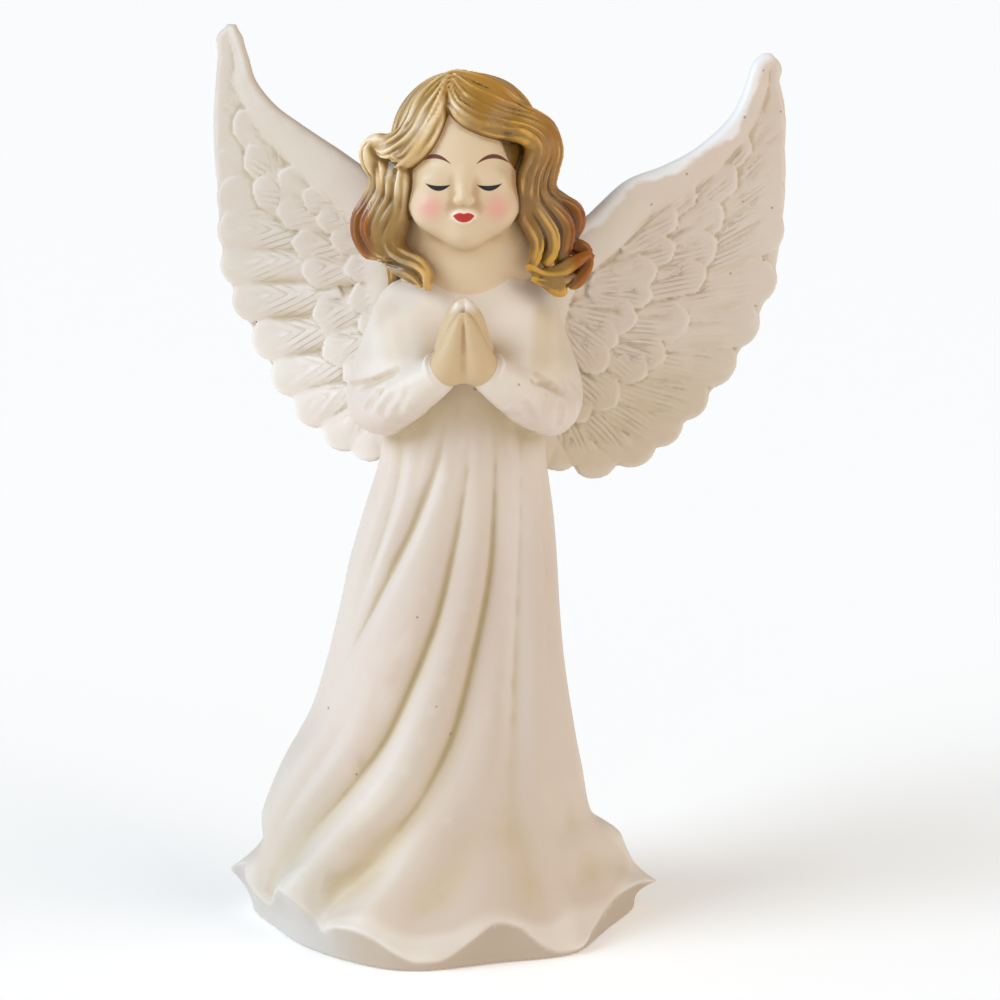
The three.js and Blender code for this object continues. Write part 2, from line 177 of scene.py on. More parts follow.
    def crease(self, line, depth, r):
        """a shallow groove on the front surface along x, z points: a rod of radius r let in by a depth"""
        c = curve(line, 9)
        ends = (0, .5, .85, 1, 1, 1, .85, .5, 0)
        pts = [(x, self.front(x, z) + depth * e - r, z) for (x, z), e in zip(c, ends)]
        self.band(pts, [r] * 9, [r] * 9, 0.4, n=18, carve=True)

    def at(self, p):
        """the field at points, mm"""
        q = (p - LO) / H
        q = np.clip(q, 0, N - 1.001)
        i = q.astype(int)
        f = q - i
        out = np.zeros(len(p))
        for dx in (0, 1):
            for dy in (0, 1):
                for dz in (0, 1):
                    wgt = np.abs(1 - dx - f[:, 0]) * np.abs(1 - dy - f[:, 1]) * np.abs(1 - dz - f[:, 2])
                    out += wgt * self.a[i[:, 0] + dx, i[:, 1] + dy, i[:, 2] + dz]
        return out


cloth, skin, hair, wings = Field(), Field(), Field(), Field()

# ------------------------------------------------------------------ gown and trunk
# height, sideways centre, depth centre, half width, half depth
TRUNK = np.array([
    [0, -4.0, -0.4, 33.4, 24.6], [6, -4.4, -0.4, 32.6, 24.0], [10.5, -4.9, -0.4, 31.4, 23.1],
    [15, -5.0, -0.4, 29.8, 21.4], [20, -5.8, -0.4, 27.4, 19.4], [28, -5.4, -0.4, 24.6, 17.9],
    [37, -3.8, -0.3, 21.5, 16.6], [46, -2.9, -0.2, 19.4, 15.5], [55, -2.2, -0.1, 17.9, 14.4],
    [63, -1.6, 0.0, 16.8, 13.2], [72, -0.7, 0.0, 15.1, 11.6], [80, 0.0, 0.2, 13.4, 10.4],
    [88, 0.2, 0.6, 12.8, 10.0], [96, 0.3, 1.0, 13.2, 9.8], [103, 0.6, 1.4, 13.8, 9.0],
    [107, 0.8, 1.5, 12.8, 8.0], [110, 0.9, 1.2, 9.8, 6.9], [113, 0.8, 0.6, 7.4, 6.0], [119, 0.5, 0.2, 6.6, 5.6]])


def rows(table, z):
    """columns of a table at heights z, eased between its rows"""
    zs = table[:, 0]
    i = np.clip(np.searchsorted(zs, z, side="right") - 1, 0, len(zs) - 2)
    a, b = table[i], table[i + 1]
    pa, nb = table[np.maximum(i - 1, 0)], table[np.minimum(i + 2, len(zs) - 1)]
    span = (b[:, :1] - a[:, :1])
    m0 = (b - pa) / np.maximum(b[:, :1] - pa[:, :1], 1e-6) * span
    m1 = (nb - a) / np.maximum(nb[:, :1] - a[:, :1], 1e-6) * span
    t = np.clip((z[:, None] - a[:, :1]) / span, 0, 1)
    t2, t3 = t * t, t * t * t
    return ((2 * t3 - 3 * t2 + 1) * a + (t3 - 2 * t2 + t) * m0 + (3 * t2 - 2 * t3) * b + (t3 - t2) * m1)[:, 1:]


# fold valleys: (height, angle from the front towards +X), (height, depth), half width in degrees,
# and (height, depth) of the sharp groove along the bottom of the fold
FOLDS = [
    ([(0, -84), (5, -78), (9, -72), (11.5, -68), (14.5, -62), (18, -54), (22, -45), (25, -39.5), (28, -34), (31, -29.5), (40, -22), (49, -13.5), (54, -8.3), (58, -4.5), (64, -2), (74, 2), (87, 5), (95, 6)],
     [(0, .6), (4, 1.6), (9, 2.5), (14, 3.0), (18, 3.6), (30, 3.2), (45, 2.4), (60, 1.7), (75, 1.0), (88, .3), (95, 0)], 10.5, [(14, 0), (24, .35), (36, .6), (60, .6), (78, .3), (90, 0)]),
    ([(0, -46), (5, -41), (7.2, -38.5), (10.2, -34.5), (14.5, -27), (18.2, -17), (22.8, -7), (26, -2.5), (34, 5), (37.5, 7.5), (50, 15.5), (55, 18.5), (59, 21.5), (62, 23.5), (72, 24.4), (83, 25), (92, 24)],
     [(0, 1.2), (4, 3.0), (9, 4.6), (14, 4.6), (18, 4.2), (30, 3.3), (45, 2.4), (60, 1.8), (75, 1.1), (88, .4), (95, 0)], 10.5, [(14, 0), (24, .35), (36, .6), (60, .6), (80, .4), (92, 0)]),
    ([(0, -15), (5.5, -9.5), (8.8, -3), (12, 4), (16.5, 12), (22, 17), (32, 22), (46, 27)], [(0, 1.0), (6, 2.6), (12, 2.8), (18, 1.9), (26, 1.0), (36, .35), (46, 0)], 12, [(0, 0), (90, 0)]),
    ([(0, 41), (4, 38.5), (11, 36), (20, 35), (33, 35.6), (53, 40), (66, 43), (80, 46), (90, 48)],
     [(0, 1.0), (8, 2.0), (18, 2.4), (32, 2.0), (50, 1.5), (70, 1.1), (84, .5), (92, 0)], 8.5, [(20, 0), (40, .12), (70, .15), (84, 0)]),
    ([(24, 58), (50, 64), (84, 68)], [(24, 0), (40, .6), (66, .7), (84, 0)], 7, [(0, 0), (90, 0)]),
    ([(46, -62), (54, -52.5), (62, -41), (67, -34), (72.5, -27.4), (78, -22), (83, -16), (90, -9)],
     [(46, 0), (54, 1.0), (62, 1.7), (72, 1.5), (80, .8), (90, 0)], 8.5, [(48, 0), (56, .4), (72, .45), (86, 0)]),
    ([(50, -64), (58.6, -58), (65, -55), (71, -51), (78, -50.6), (88, -50)], [(50, 0), (58, .8), (68, 1.1), (78, .8), (88, 0)], 8, [(52, 0), (62, .2), (78, .15), (86, 0)]),
    ([(10, -84), (18, -69), (24, -60), (28, -55), (34, -50), (40, -45)], [(12, 0), (18, .6), (24, 1.2), (30, 1.1), (38, .3), (42, 0)], 7, [(14, 0), (22, .2), (30, .2), (38, 0)]),
    ([(0, 62), (20, 66), (40, 72)], [(0, .6), (10, 1.0), (22, .8), (40, 0)], 10, [(0, 0), (90, 0)]),
    ([(66, 36), (80, 33), (92, 30)], [(66, 0), (76, .35), (86, .4), (93, 0)], 5, [(66, 0), (90, 0)]),
    ([(70, 14), (82, 15), (94, 14)], [(70, 0), (80, .35), (88, .4), (94, 0)], 5, [(70, 0), (92, 0)]),
    ([(70, -8), (80, -6), (92, -3)], [(70, 0), (80, .3), (88, .3), (93, 0)], 5, [(70, 0), (92, 0)]),
    ([(72, -34), (82, -31), (92, -27)], [(72, 0), (80, .3), (88, .3), (93, 0)], 5, [(72, 0), (92, 0)])]
for top, hem, start in ((-150, -160, 84), (-108, -128, 74), (102, 112, 66), (134, 144, 84), (172, 176, 88)):    # out of sight, at the sides and back
    FOLDS.append(([(0, hem), (20, hem + (top - hem) * .45), (45, hem + (top - hem) * .8), (90, top)],
                  [(0, .9), (8, 2.0), (18, 2.7), (36, 2.3), (60, 1.3), (start, 0)], 12, [(14, 0), (30, .2), (60, .2), (start, 0)]))
# height of the plain upright edge under the hem: angle, height
HEM = [(-180, 4), (-160, 2), (-145, 6.5), (-130, 2), (-114, 5.5), (-103, 5.4), (-97, 8.4), (-92, 9.4), (-87, 7.8), (-81, 4.8), (-76, 4.2),
       (-69, 5.8), (-62, 8.4), (-57, 9.5), (-52, 9.2), (-47, 7.7), (-42, 5.6), (-38, 4.2), (-34, 5.3), (-30, 6.0), (-25, 6.2), (-20, 5.8), (-14, 4.3), (-10, 2.9),
       (-5, 1.8), (0, 1.9), (4, 2.8), (10, 5.0), (19, 7.4), (26, 6.2), (32, 3.0), (38, 1.2), (45, 1.0), (57, 2.8),
       (74, 4.4), (90, 6.0), (103, 4.0), (112, 2), (128, 6.5), (144, 2), (160, 6.5), (174, 2.4), (180, 4)]
# outline on the floor, and how far the edge above it stands out, as shares of the plain oval
BASE = [(-180, 1.0), (-130, 1.0), (-112, 1.0), (-100, .985), (-90, .915), (-71, .845), (-52, .868), (-37, .91), (-23, .962),
        (-10, 1.036), (-2, 1.005), (7, .945), (20, .903), (32, .94), (43, .983), (56, .90), (72, .87), (91, .932),
        (104, 1.03), (120, 1.02), (150, 1.0), (180, 1.0)]
# how far the skirt is drawn in above the flare of its hem
WAIST = [(-180, .95), (-118, .97), (-100, 1.0), (-88, .985), (-71, .95), (-52, .93), (-25, .90), (0, .885), (20, .875), (45, .87), (72, .86), (90, .92), (104, .97), (125, .94), (150, .93), (180, .95)]
LIP = [(-180, .01), (-108, .012), (-98, .075), (-95, .096), (-90, .096), (-86, .07), (-74, .03), (-66, .045), (-54, .062), (-46, .035), (-38, .008), (-30, .045), (-23, .045), (-14, .015), (-8, .0), (4, .02), (18, .055), (30, .02), (40, .0), (60, .02), (80, .05), (91, .118), (98, .05), (110, .01), (180, .01)]
# height over which the cloth flares out to its edge
FLARE = [(-180, 14), (-112, 12), (-100, 5), (-92, 3.6), (-84, 5), (-70, 8), (-54, 9), (-38, 9), (-22, 11), (-4, 14), (30, 16), (60, 14), (80, 6), (91, 4.2), (100, 4.5), (120, 12), (180, 14)]


def eased(table, x):
    """a table read at x along a smooth curve that turns only at its own highs and lows"""
    a = np.array(table, float)
    h = np.diff(a[:, 0])
    s = np.diff(a[:, 1]) / h
    m = np.zeros(len(a))
    same = s[:-1] * s[1:] > 0
    m[1:-1] = np.where(same, 2 * s[:-1] * s[1:] / np.where(same, s[:-1] + s[1:], 1), 0)
    i = np.clip(np.searchsorted(a[:, 0], x, side="right") - 1, 0, len(a) - 2)
    t = np.clip((x - a[i, 0]) / h[i], 0, 1)
    return ((2 * t ** 3 - 3 * t ** 2 + 1) * a[i, 1] + (t ** 3 - 2 * t ** 2 + t) * h[i] * m[i]
            + (3 * t ** 2 - 2 * t ** 3) * a[i + 1, 1] + (t ** 3 - t ** 2) * h[i] * m[i + 1])


def along(table, z, soft=3.0):
    """a table read at heights z, rounded off over a few millimetres"""
    a = np.array(table, float)
    return sum(np.interp(z + d * soft, a[:, 0], a[:, 1]) for d in (-1.5, -.5, .5, 1.5)) / 4


A0, B0 = 34.0, 25.0
groove_at = []      # for the paint: height -> angle and strength of each groove


def make_gown():
    deg = np.arange(-180, 180.01, 0.5)
    zz = np.arange(0, 121.01, 0.25)
    A, Z = np.meshgrid(deg, zz, indexing="ij")
    t_at = rows(TRUNK, zz)
    half = t_at[:, 2]
    R = np.ones_like(A) * half[None, :] * 1.035
    for path, depth, wide, groove in FOLDS:
        at = along(path, zz)
        dep, gro = along(depth, zz, 2.0), along(groove, zz, 2.0)
        off = np.abs((A - at[None, :] + 540) % 360 - 180)
        w = wide * (0.8 + 0.35 * np.clip((70 - zz) / 70, 0, 1))[None, :]
        R -= dep[None, :] * np.exp(-(off / w) ** 2 * 0.95)
        mm = off * np.radians(1.0) * half[None, :]
        R -= gro[None, :] * np.exp(-(mm / 0.6) ** 2)
        groove_at.append((at, gro))
    R += 0.16 * np.sin(A * 0.13 + Z * 0.11) * step01((60 - Z) / 30)
    R *= eased(WAIST, deg)[:, None] ** step01((29 - Z) / 20)
    # the cloth pops out at the back right
    R += 3.6 * np.exp(-((A - 103) / 11) ** 2) * step01((19 - Z) / 6)
    R -= 1.8 * np.exp(-((A + 94) / 15) ** 2) * np.exp(-((Z - 13.4) / 3.2) ** 2)
    # the hem: an upright edge on the floor outline, with the cloth flaring out to meet it
    hem = eased(HEM, deg)
    hem = np.convolve(np.concatenate([hem[-6:-1], hem, hem[1:6]]), np.ones(11) / 11, "valid")
    wide_hem = sum(eased(HEM, (deg + d + 180) % 360 - 180) * g for d, g in ((-14, .12), (-8, .22), (0, .32), (8, .22), (14, .12)))
    floor_ = eased(BASE, deg) * A0
    edge = floor_ + eased(LIP, deg) * A0
    at_hem = np.array([np.interp(h, zz, r) for h, r in zip(hem, R)])
    u = np.clip((Z - wide_hem[:, None]) / eased(FLARE, deg)[:, None], 0, 1)
    def blurred(v, over):
        n = int(over * 2.2)
        g = np.exp(-(np.arange(-n, n + 1) / over) ** 2)
        return np.convolve(np.concatenate([v[-n - 1:-1], v, v[1:n + 1]]), g / g.sum(), "valid")

    R = R + (edge - blurred(at_hem, 44.0))[:, None] * (1 - u) ** 2.1
    edge = np.array([np.interp(h, zz, r) for h, r in zip(hem, R)])
    floor_ = np.minimum(floor_, edge)
    floor_ = blurred(floor_, 16.0)
    wall = floor_[:, None] + (edge - floor_)[:, None] * np.clip(Z / np.maximum(hem, 0.5)[:, None], 0, 1) ** (3 - 1.7 * np.exp(-((A + 92) / 12) ** 2))
    cut = step01((hem[:, None] - Z) / 0.7 + 0.5)
    table = (R * (1 - cut) + wall * cut).astype(f32)
    # sample it on the grid, one level at a time
    sl, X, Y, Zg = sub([-45, -28.5, -2.4], [36, 27.5, 121])
    out = np.full(tuple(s.stop - s.start for s in sl), FAR, f32)
    zs = Zg[0, 0]
    tr = rows(TRUNK, np.clip(zs.astype(float), 0, 119))
    x2, y2 = X[:, :, 0], Y[:, :, 0]
    for k, z in enumerate(zs):
        cx, cy, a, b = tr[k]
        ex, ey = (x2 - f32(cx)), (y2 - f32(cy)) * f32(a / b)
        r = np.sqrt(ex * ex + ey * ey)
        ang = (np.degrees(np.arctan2(ex, -ey)) + 180) * 2
        i = np.minimum(ang.astype(int), table.shape[0] - 2)
        fr = (ang - i).astype(f32)
        kz = min(max(float(z), 0) / 0.25, table.shape[1] - 1.001)
        j = int(kz)
        fz = f32(kz - j)
        col = table[:, j] * (1 - fz) + table[:, j + 1] * fz
        rr = col[i] * (1 - fr) + col[i + 1] * fr
        sc = np.sqrt((x2 - f32(cx)) ** 2 + (y2 - f32(cy)) ** 2) / np.maximum(r, 1e-3)
        out[:, :, k] = (r - rr) * sc * f32(0.85)
    # rounded top, inside the head
    out = smax(out, Zg - f32(119.0), 1.0)
    cloth.put(sl, np.clip(out, -FAR, FAR), 0)


make_gown()

# ------------------------------------------------------------------ sleeves and hands
MID = 0.4


def side_pts(pts, side):
    """mirror points given for the -X side"""
    return [(MID + (p[0] - MID) * side, p[1], p[2]) for p in pts]


def wrinkled(L, s, q):
    """soft diagonal pulls in the sleeve, strongest round the bend and on the forearm"""
    turn = np.arctan2(s, q)
    where = np.exp(-((L - 21.0) / 8.5) ** 2)
    a = np.cos(2 * math.pi * L / 5.6 + 1.5 * turn + 0.8 * np.sin(L * 0.7))
    b = np.cos(2 * math.pi * L / 2.9 - 0.9 * turn + 1.0)
    return 0.24 * where * (np.abs(a) ** 1.5 * np.sign(a)) * (0.6 + 0.4 * np.sin(L * 0.55 + 2 * turn)) + 0.05 * where * b


for side in (1, -1):
    arm = [(-9.6, 2.0, 104.6), (-11.7, 1.2, 100.4), (-13.4, -0.6, 95.6), (-14.3, -3.0, 91.4),
           (-13.4, -5.8, 89.8), (-10.4, -9.4, 91.2), (-7.0, -12.4, 93.9), (-3.9, -14.0, 96.2)]
    rad = [4.6, 4.4, 4.5, 4.7, 4.6, 4.2, 3.7, 3.1]
    cloth.band(side_pts(arm, side), rad, rad, 1.9, n=40, ripple=wrinkled)
    # rim of the sleeve
    th = np.linspace(0, 2 * np.pi, 15)
    ax = unit(np.array([0.74, -0.42, 0.50]))
    e1 = unit(np.cross(ax, [0, 0, 1.0]))
    e2 = np.cross(ax, e1)
    ring = [tuple(np.array([-3.9, -14.1, 96.9]) + 2.85 * (math.cos(t) * e1 + math.sin(t) * e2)) for t in th]
    cloth.band(side_pts(ring, side), [.34] * 15, [.34] * 15, 0.7, n=34)
# the bend of each arm is filled in towards the chest
for side in (1, -1):
    cloth.blob(side_pts([(-8.9, -3.4, 99.0)], side)[0], (5.6, 4.8, 7.0), 3.5)
    cloth.blob(side_pts([(-7.6, -7.6, 97.0)], side)[0], (4.4, 3.4, 3.1), 3.4)
    cloth.blob(side_pts([(-12.6, -4.2, 95.0)], side)[0], (4.2, 4.2, 3.6), 3.0)
# pulls in the cloth: in the bend of the arms, and slanting over the forearms
for line, depth, r in (([(-17.0, 93.4), (-14.2, 94.6), (-11.2, 96.4)], .3, .7), ([(16.6, 92.8), (14.4, 94.0), (11.6, 95.6)], .3, .7),
                       ([(-15.6, 90.6), (-14.6, 92.4), (-13.4, 93.8)], .28, 1.0), ([(-13.4, 89.4), (-12.4, 91.6), (-11.0, 93.4)], .32, 1.2), ([(-10.6, 90.2), (-9.8, 92.2), (-8.8, 94.2)], .26, 1.0),
                       ([(16.0, 87.4), (16.5, 89.4), (16.4, 91.4)], .3, 1.0), ([(11.7, 88.4), (10.9, 90.6), (9.9, 92.6)], .3, 1.2)):
    cloth.crease(line, depth, r)
# the hands, pressed together: the little fingers in front, the taller fingers behind, the thumbs next to the chest
for y, zs, wide, deep_, k in ((-15.9, (96.6, 97.8, 99.5, 101.3, 103.6, 105.4, 106.5), (3.2, 4.8, 4.5, 3.6, 2.6, 1.6, .7), (1.6, 2.4, 2.5, 2.2, 1.9, 1.3, .6), .25),
                              (-13.9, (97.6, 99.6, 101.4, 103.6, 105.8, 107.6, 108.8), (5.0, 4.6, 3.9, 3.3, 2.7, 1.7, .7), (2.5, 2.4, 2.2, 2.0, 1.7, 1.2, .6), .10),
                              (-12.2, (98.0, 100.0, 102.6, 105.0, 107.4), (5.0, 4.8, 4.0, 3.3, 1.9), (2.4, 2.4, 2.2, 2.0, 1.3), .12),
                              (-10.4, (98.0, 100.0, 103.0), (4.4, 4.0, 2.6), (2.4, 2.4, 1.8), .3)):
    for side in (1, -1):
        half = [(MID + side * w_ * 0.45, y - 0.17 * (z - 98.0), z) for z, w_ in zip(zs, wide)]
        skin.band(half, np.array(wide) * 0.55, deep_, k, n=22)
    skin.band([(MID, y - 0.17 * (z - 98.0) + 0.3, z) for z in zs[:-1]], np.array(wide[:-1]) * 0.45, np.array(deep_[:-1]) * 0.88, 0.2, n=18)
# heels of the hands, sunk in the sleeves
for side in (1, -1):
    skin.band(side_pts([(-2.4, -15.4, 98.2), (-3.2, -14.6, 96.8), (-4.4, -13.4, 96.0)], side), [2.5, 2.3, 1.9], [2.5, 2.3, 1.9], 0.8, n=8)

# ------------------------------------------------------------------ head
HX = 0.4
skin.blob((HX, 0.4, 130.0), (9.5, 10.6, 12.2), 0)
skin.blob((HX, -2.4, 123.6), (8.7, 8.0, 7.8), 3.0)
skin.blob((HX, -7.4, 118.9), (3.2, 3.0, 2.7), 3.0)
for s in (1, -1):
    skin.blob((HX + s * 4.7, -6.9, 122.0), (3.6, 3.2, 3.2), 2.5)
skin.band([(0.7, 1.2, 106), (0.6, 0.8, 113), (HX, 0.6, 120)], [7.6, 7.2, 7.0], [7.6, 6.4, 6.4], 2.0, n=8)
# closed lids, nose, lips
for s in (1, -1):
    skin.blob((HX + s * 4.1, -8.5, 127.0), (2.6, 1.9, 1.7), 1.6, tilt=-6 * s)
    skin.band([(HX + s * 2.1, -11.5, 126.4), (HX + s * 4.1, -11.0, 125.7), (HX + s * 6.2, -9.5, 126.4)], [.2, .3, .15], [.2, .3, .15], 0.5, carve=True, n=8)
skin.band([(HX, -9.7, 128.2), (HX, -10.6, 126.2), (HX, -11.6, 124.5)], [.4, .45, .75], [.4, .5, .75], 2.0, n=8)
skin.blob((0.6, 0.4, 113.8), (11.4, 5.8, 10.6), 2.0)
for s in (1, -1):
    skin.blob((HX + s * .85, -10.9, 123.9), (.6, .7, .5), 0.6)
skin.blob((HX, -10.1, 121.3), (1.8, 1.0, 1.2), 1.2)
for s in (1, -1):
    skin.blob((HX + s * .65, -10.85, 121.7), (.9, .65, .42), 0.4, tilt=-14 * s)
skin.blob((HX, -10.75, 120.8), (1.15, .7, .46), 0.4)

# ------------------------------------------------------------------ hair
hair.blob((0.6, 1.7, 131.0), (11.2, 10.9, 11.8), 0)
hair.blob((0.9, 5.6, 119.0), (12.4, 6.6, 12.0), 2.0)


def away(c):
    """outwards from the head"""
    g = (c - np.array([0.5, 2.0, 131.0])) / np.array([12.5, 11.5, 12.5]) ** 2
    g[:, 2] = np.maximum(g[:, 2], 0) * 1.2
    return unit(g)


LOCKS = [   # half width, half thickness, strands, points
    (2.0, 1.8, 3, [(-1.3, 0.1, 142.6), (-4.1, -2.7, 140.9), (-6.2, -4.3, 138.5), (-7.4, -5.2, 135.8), (-9.0, -4.4, 133.3), (-11.6, -3.4, 132.1), (-13.6, -2.6, 132.5), (-14.5, -2.2, 131.5)]),
    (1.9, 1.8, 3, [(-1.9, -1.8, 142.1), (-3.7, -5.2, 139.5), (-5.4, -6.4, 136.9), (-6.9, -6.6, 134.2), (-9.2, -4.8, 132.0), (-11.8, -4.0, 131.1), (-13.6, -2.8, 132.0)]),
    (1.9, 1.8, 3, [(-2.3, -3.1, 141.4), (-3.3, -6.3, 138.6), (-4.6, -7.5, 135.9), (-6.2, -7.4, 133.3), (-8.5, -5.5, 130.8), (-10.7, -4.6, 129.9)]),
    (1.6, 1.7, 2, [(-2.6, -4.8, 140.3), (-3.2, -7.2, 137.5), (-4.6, -8.0, 134.7), (-6.2, -7.6, 132.2), (-8.3, -5.6, 129.7), (-10.1, -4.6, 128.6)]),
    (1.8, 1.1, 2, [(-1.1, 0.5, 142.7), (-3.8, -0.6, 141.8), (-6.2, -1.9, 139.9), (-7.9, -3.1, 137.5), (-9.0, -3.3, 135.2), (-9.9, -2.5, 133.6)]),
    (2.0, 2.1, 3, [(-13.2, -2.3, 132.5), (-14.5, -2.1, 131.4), (-14.3, -1.8, 129.6), (-13.2, -1.4, 127.6), (-13.1, -1.2, 125.1), (-14.5, -1.0, 122.3), (-15.9, -1.0, 119.9), (-16.1, -1.4, 117.3), (-14.9, -2.4, 115.0), (-12.5, -4.0, 113.9)]),
    (1.7, 2.1, 3, [(-12.2, -1.6, 131.4), (-12.2, -2.4, 129.4), (-11.9, -2.9, 127.2), (-12.0, -2.8, 124.3), (-13.3, -2.8, 121.7), (-14.5, -2.9, 119.1), (-13.9, -3.2, 116.6), (-12.3, -4.2, 114.7), (-10.1, -5.2, 114.2)]),
    (1.6, 2.0, 2, [(-10.2, -2.4, 130.6), (-10.2, -3.4, 128.4), (-10.4, -4.0, 126.0), (-10.6, -3.9, 123.4), (-12.0, -3.9, 120.9), (-12.9, -4.0, 118.3), (-12.2, -4.4, 116.1), (-10.6, -5.2, 114.5)]),
    (1.5, 1.9, 2, [(-8.7, -3.6, 130.4), (-8.8, -4.6, 128.2), (-9.1, -5.0, 125.1), (-9.3, -4.7, 122.2), (-10.2, -4.6, 119.6), (-10.9, -4.7, 117.4), (-10.5, -5.0, 115.5), (-9.0, -5.8, 114.1), (-6.7, -6.8, 113.1), (-5.5, -7.6, 111.6), (-5.5, -8.0, 109.5)]),
    (1.5, 1.6, 2, [(-12.0, -4.2, 113.3), (-10.5, -4.8, 112.5), (-8.5, -5.8, 112.0), (-6.9, -6.4, 111.0), (-6.2, -7.0, 109.9)]),
    (2.3, 1.8, 3, [(-0.7, -0.4, 142.6), (2.2, -2.7, 141.9), (5.2, -3.6, 140.5), (7.8, -3.8, 138.5), (10.0, -0.4, 136.3), (12.8, 0.2, 134.8), (14.1, 0.8, 132.0), (14.1, 1.0, 128.8)]),
    (2.0, 1.8, 3, [(-1.1, -1.8, 142.2), (1.9, -5.4, 140.3), (5.4, -5.9, 138.6), (8.6, -4.4, 137.0), (11.5, -3.6, 135.7), (13.7, -2.2, 134.0), (14.6, -1.4, 131.2), (14.0, -1.0, 128.3), (13.5, -0.6, 125.7), (14.2, -0.2, 123.6), (16.1, 0.0, 122.2), (17.9, 0.0, 120.9), (18.2, 0.0, 119.1), (17.2, -0.2, 117.2), (17.7, -0.4, 115.6), (19.7, -0.8, 114.7), (19.8, -1.4, 112.9), (18.5, -2.0, 110.9)]),
    (1.9, 1.8, 3, [(-1.3, -3.2, 141.6), (0.9, -6.6, 139.3), (4.1, -7.4, 137.4), (7.6, -6.1, 136.1), (10.6, -5.4, 135.2), (12.7, -3.8, 133.6), (13.3, -2.8, 131.0), (12.4, -2.6, 128.1), (11.9, -2.6, 125.6), (12.8, -2.6, 123.1), (14.9, -2.7, 121.1), (16.5, -2.8, 118.8), (16.4, -2.9, 116.0), (16.0, -3.1, 114.0), (16.7, -3.4, 112.0), (16.7, -3.8, 109.8)]),
    (1.7, 1.8, 3, [(-1.7, -4.2, 140.9), (-0.2, -7.3, 138.4), (2.8, -8.3, 136.6), (6.6, -7.2, 135.5), (10.0, -6.8, 134.7), (12.0, -5.0, 133.0), (12.4, -4.2, 130.7), (11.3, -4.2, 128.1), (10.8, -4.2, 125.4), (11.2, -4.2, 122.7), (12.8, -4.4, 120.3), (14.3, -4.6, 117.9), (14.5, -4.7, 115.3), (13.4, -5.0, 113.2)]),
    (1.45, 1.6, 2, [(-1.9, -5.2, 140.2), (-1.1, -7.3, 138.3), (0.9, -8.6, 136.6), (3.9, -8.6, 135.3), (7.3, -7.1, 134.5), (10.1, -7.6, 133.8), (11.5, -6.0, 132.1), (11.2, -5.2, 129.8), (10.2, -5.0, 127.4), (9.9, -4.9, 124.5), (10.0, -4.7, 121.3), (11.3, -4.8, 118.7), (12.1, -5.0, 116.5), (11.8, -5.4, 114.2), (11.3, -5.7, 112.7)]),
    (1.2, 1.3, 1, [(10.7, -5.9, 112.7), (12.9, -5.4, 111.6), (15.7, -4.9, 111.8), (18.3, -4.3, 113.3), (20.5, -3.6, 114.6)]),
    (1.2, 1.3, 1, [(20.5, -3.2, 114.3), (20.1, -3.4, 112.4), (18.8, -3.6, 110.4), (17.6, -3.8, 109.2)]),
    (1.1, 1.2, 1, [(11.8, -5.8, 111.9), (13.8, -5.3, 110.9), (16.0, -4.8, 110.4), (17.8, -4.2, 111.3)]),
    (1.4, 1.5, 2, [(11.7, -5.6, 110.7), (13.8, -5.2, 110.0), (15.4, -4.8, 109.1), (16.5, -4.6, 108.1)]),
]
# combed from the parting over the crown, then down the sides and the back: angle round the head from the front
for i, phi in enumerate(range(64, 300, 17)):
    sn, cs = math.sin(math.radians(phi)), math.cos(math.radians(phi))
    lock = [(-0.5 + 1.0 * sn, 1.4 - 1.6 * cs, 142.3)]
    for up in (62, 42, 22):
        c = math.cos(math.radians(up))
        lock.append((0.6 + 10.7 * sn * c, 1.7 - 10.5 * cs * c, 131.0 + 11.4 * math.sin(math.radians(up))))
    for z in (129, 124, 119, 114, 109.5, 105.8 - 1.4 * (i % 3)):
        t = (131 - z) / 25
        wave = 0.7 * math.sin(z * 0.52 + i * 2.1)
        lock.append((0.7 + (10.9 + 1.0 * math.sin(t * 2.6)) * sn + wave * cs,
                     2.6 + 2.4 * min(1, 2 * t) - (9.2 - 2.9 * t) * cs + wave * sn, z))
    LOCKS.append((2.5, 1.7, 3, lock))
for w, h, st, pts in LOCKS:
    m = len(pts)
    u = np.linspace(0, 1, m)
    taper = np.minimum(1.0, 0.42 + 0.3 * np.arange(m)) * (1 - 0.72 * np.clip((u - 0.62) / 0.38, 0, 1) ** 1.6)
    hair.band(pts, w * taper, h * (0.5 + 0.5 * taper), 0.35, out=away, n=4 * m + 2, strands=st, amp=0.25)

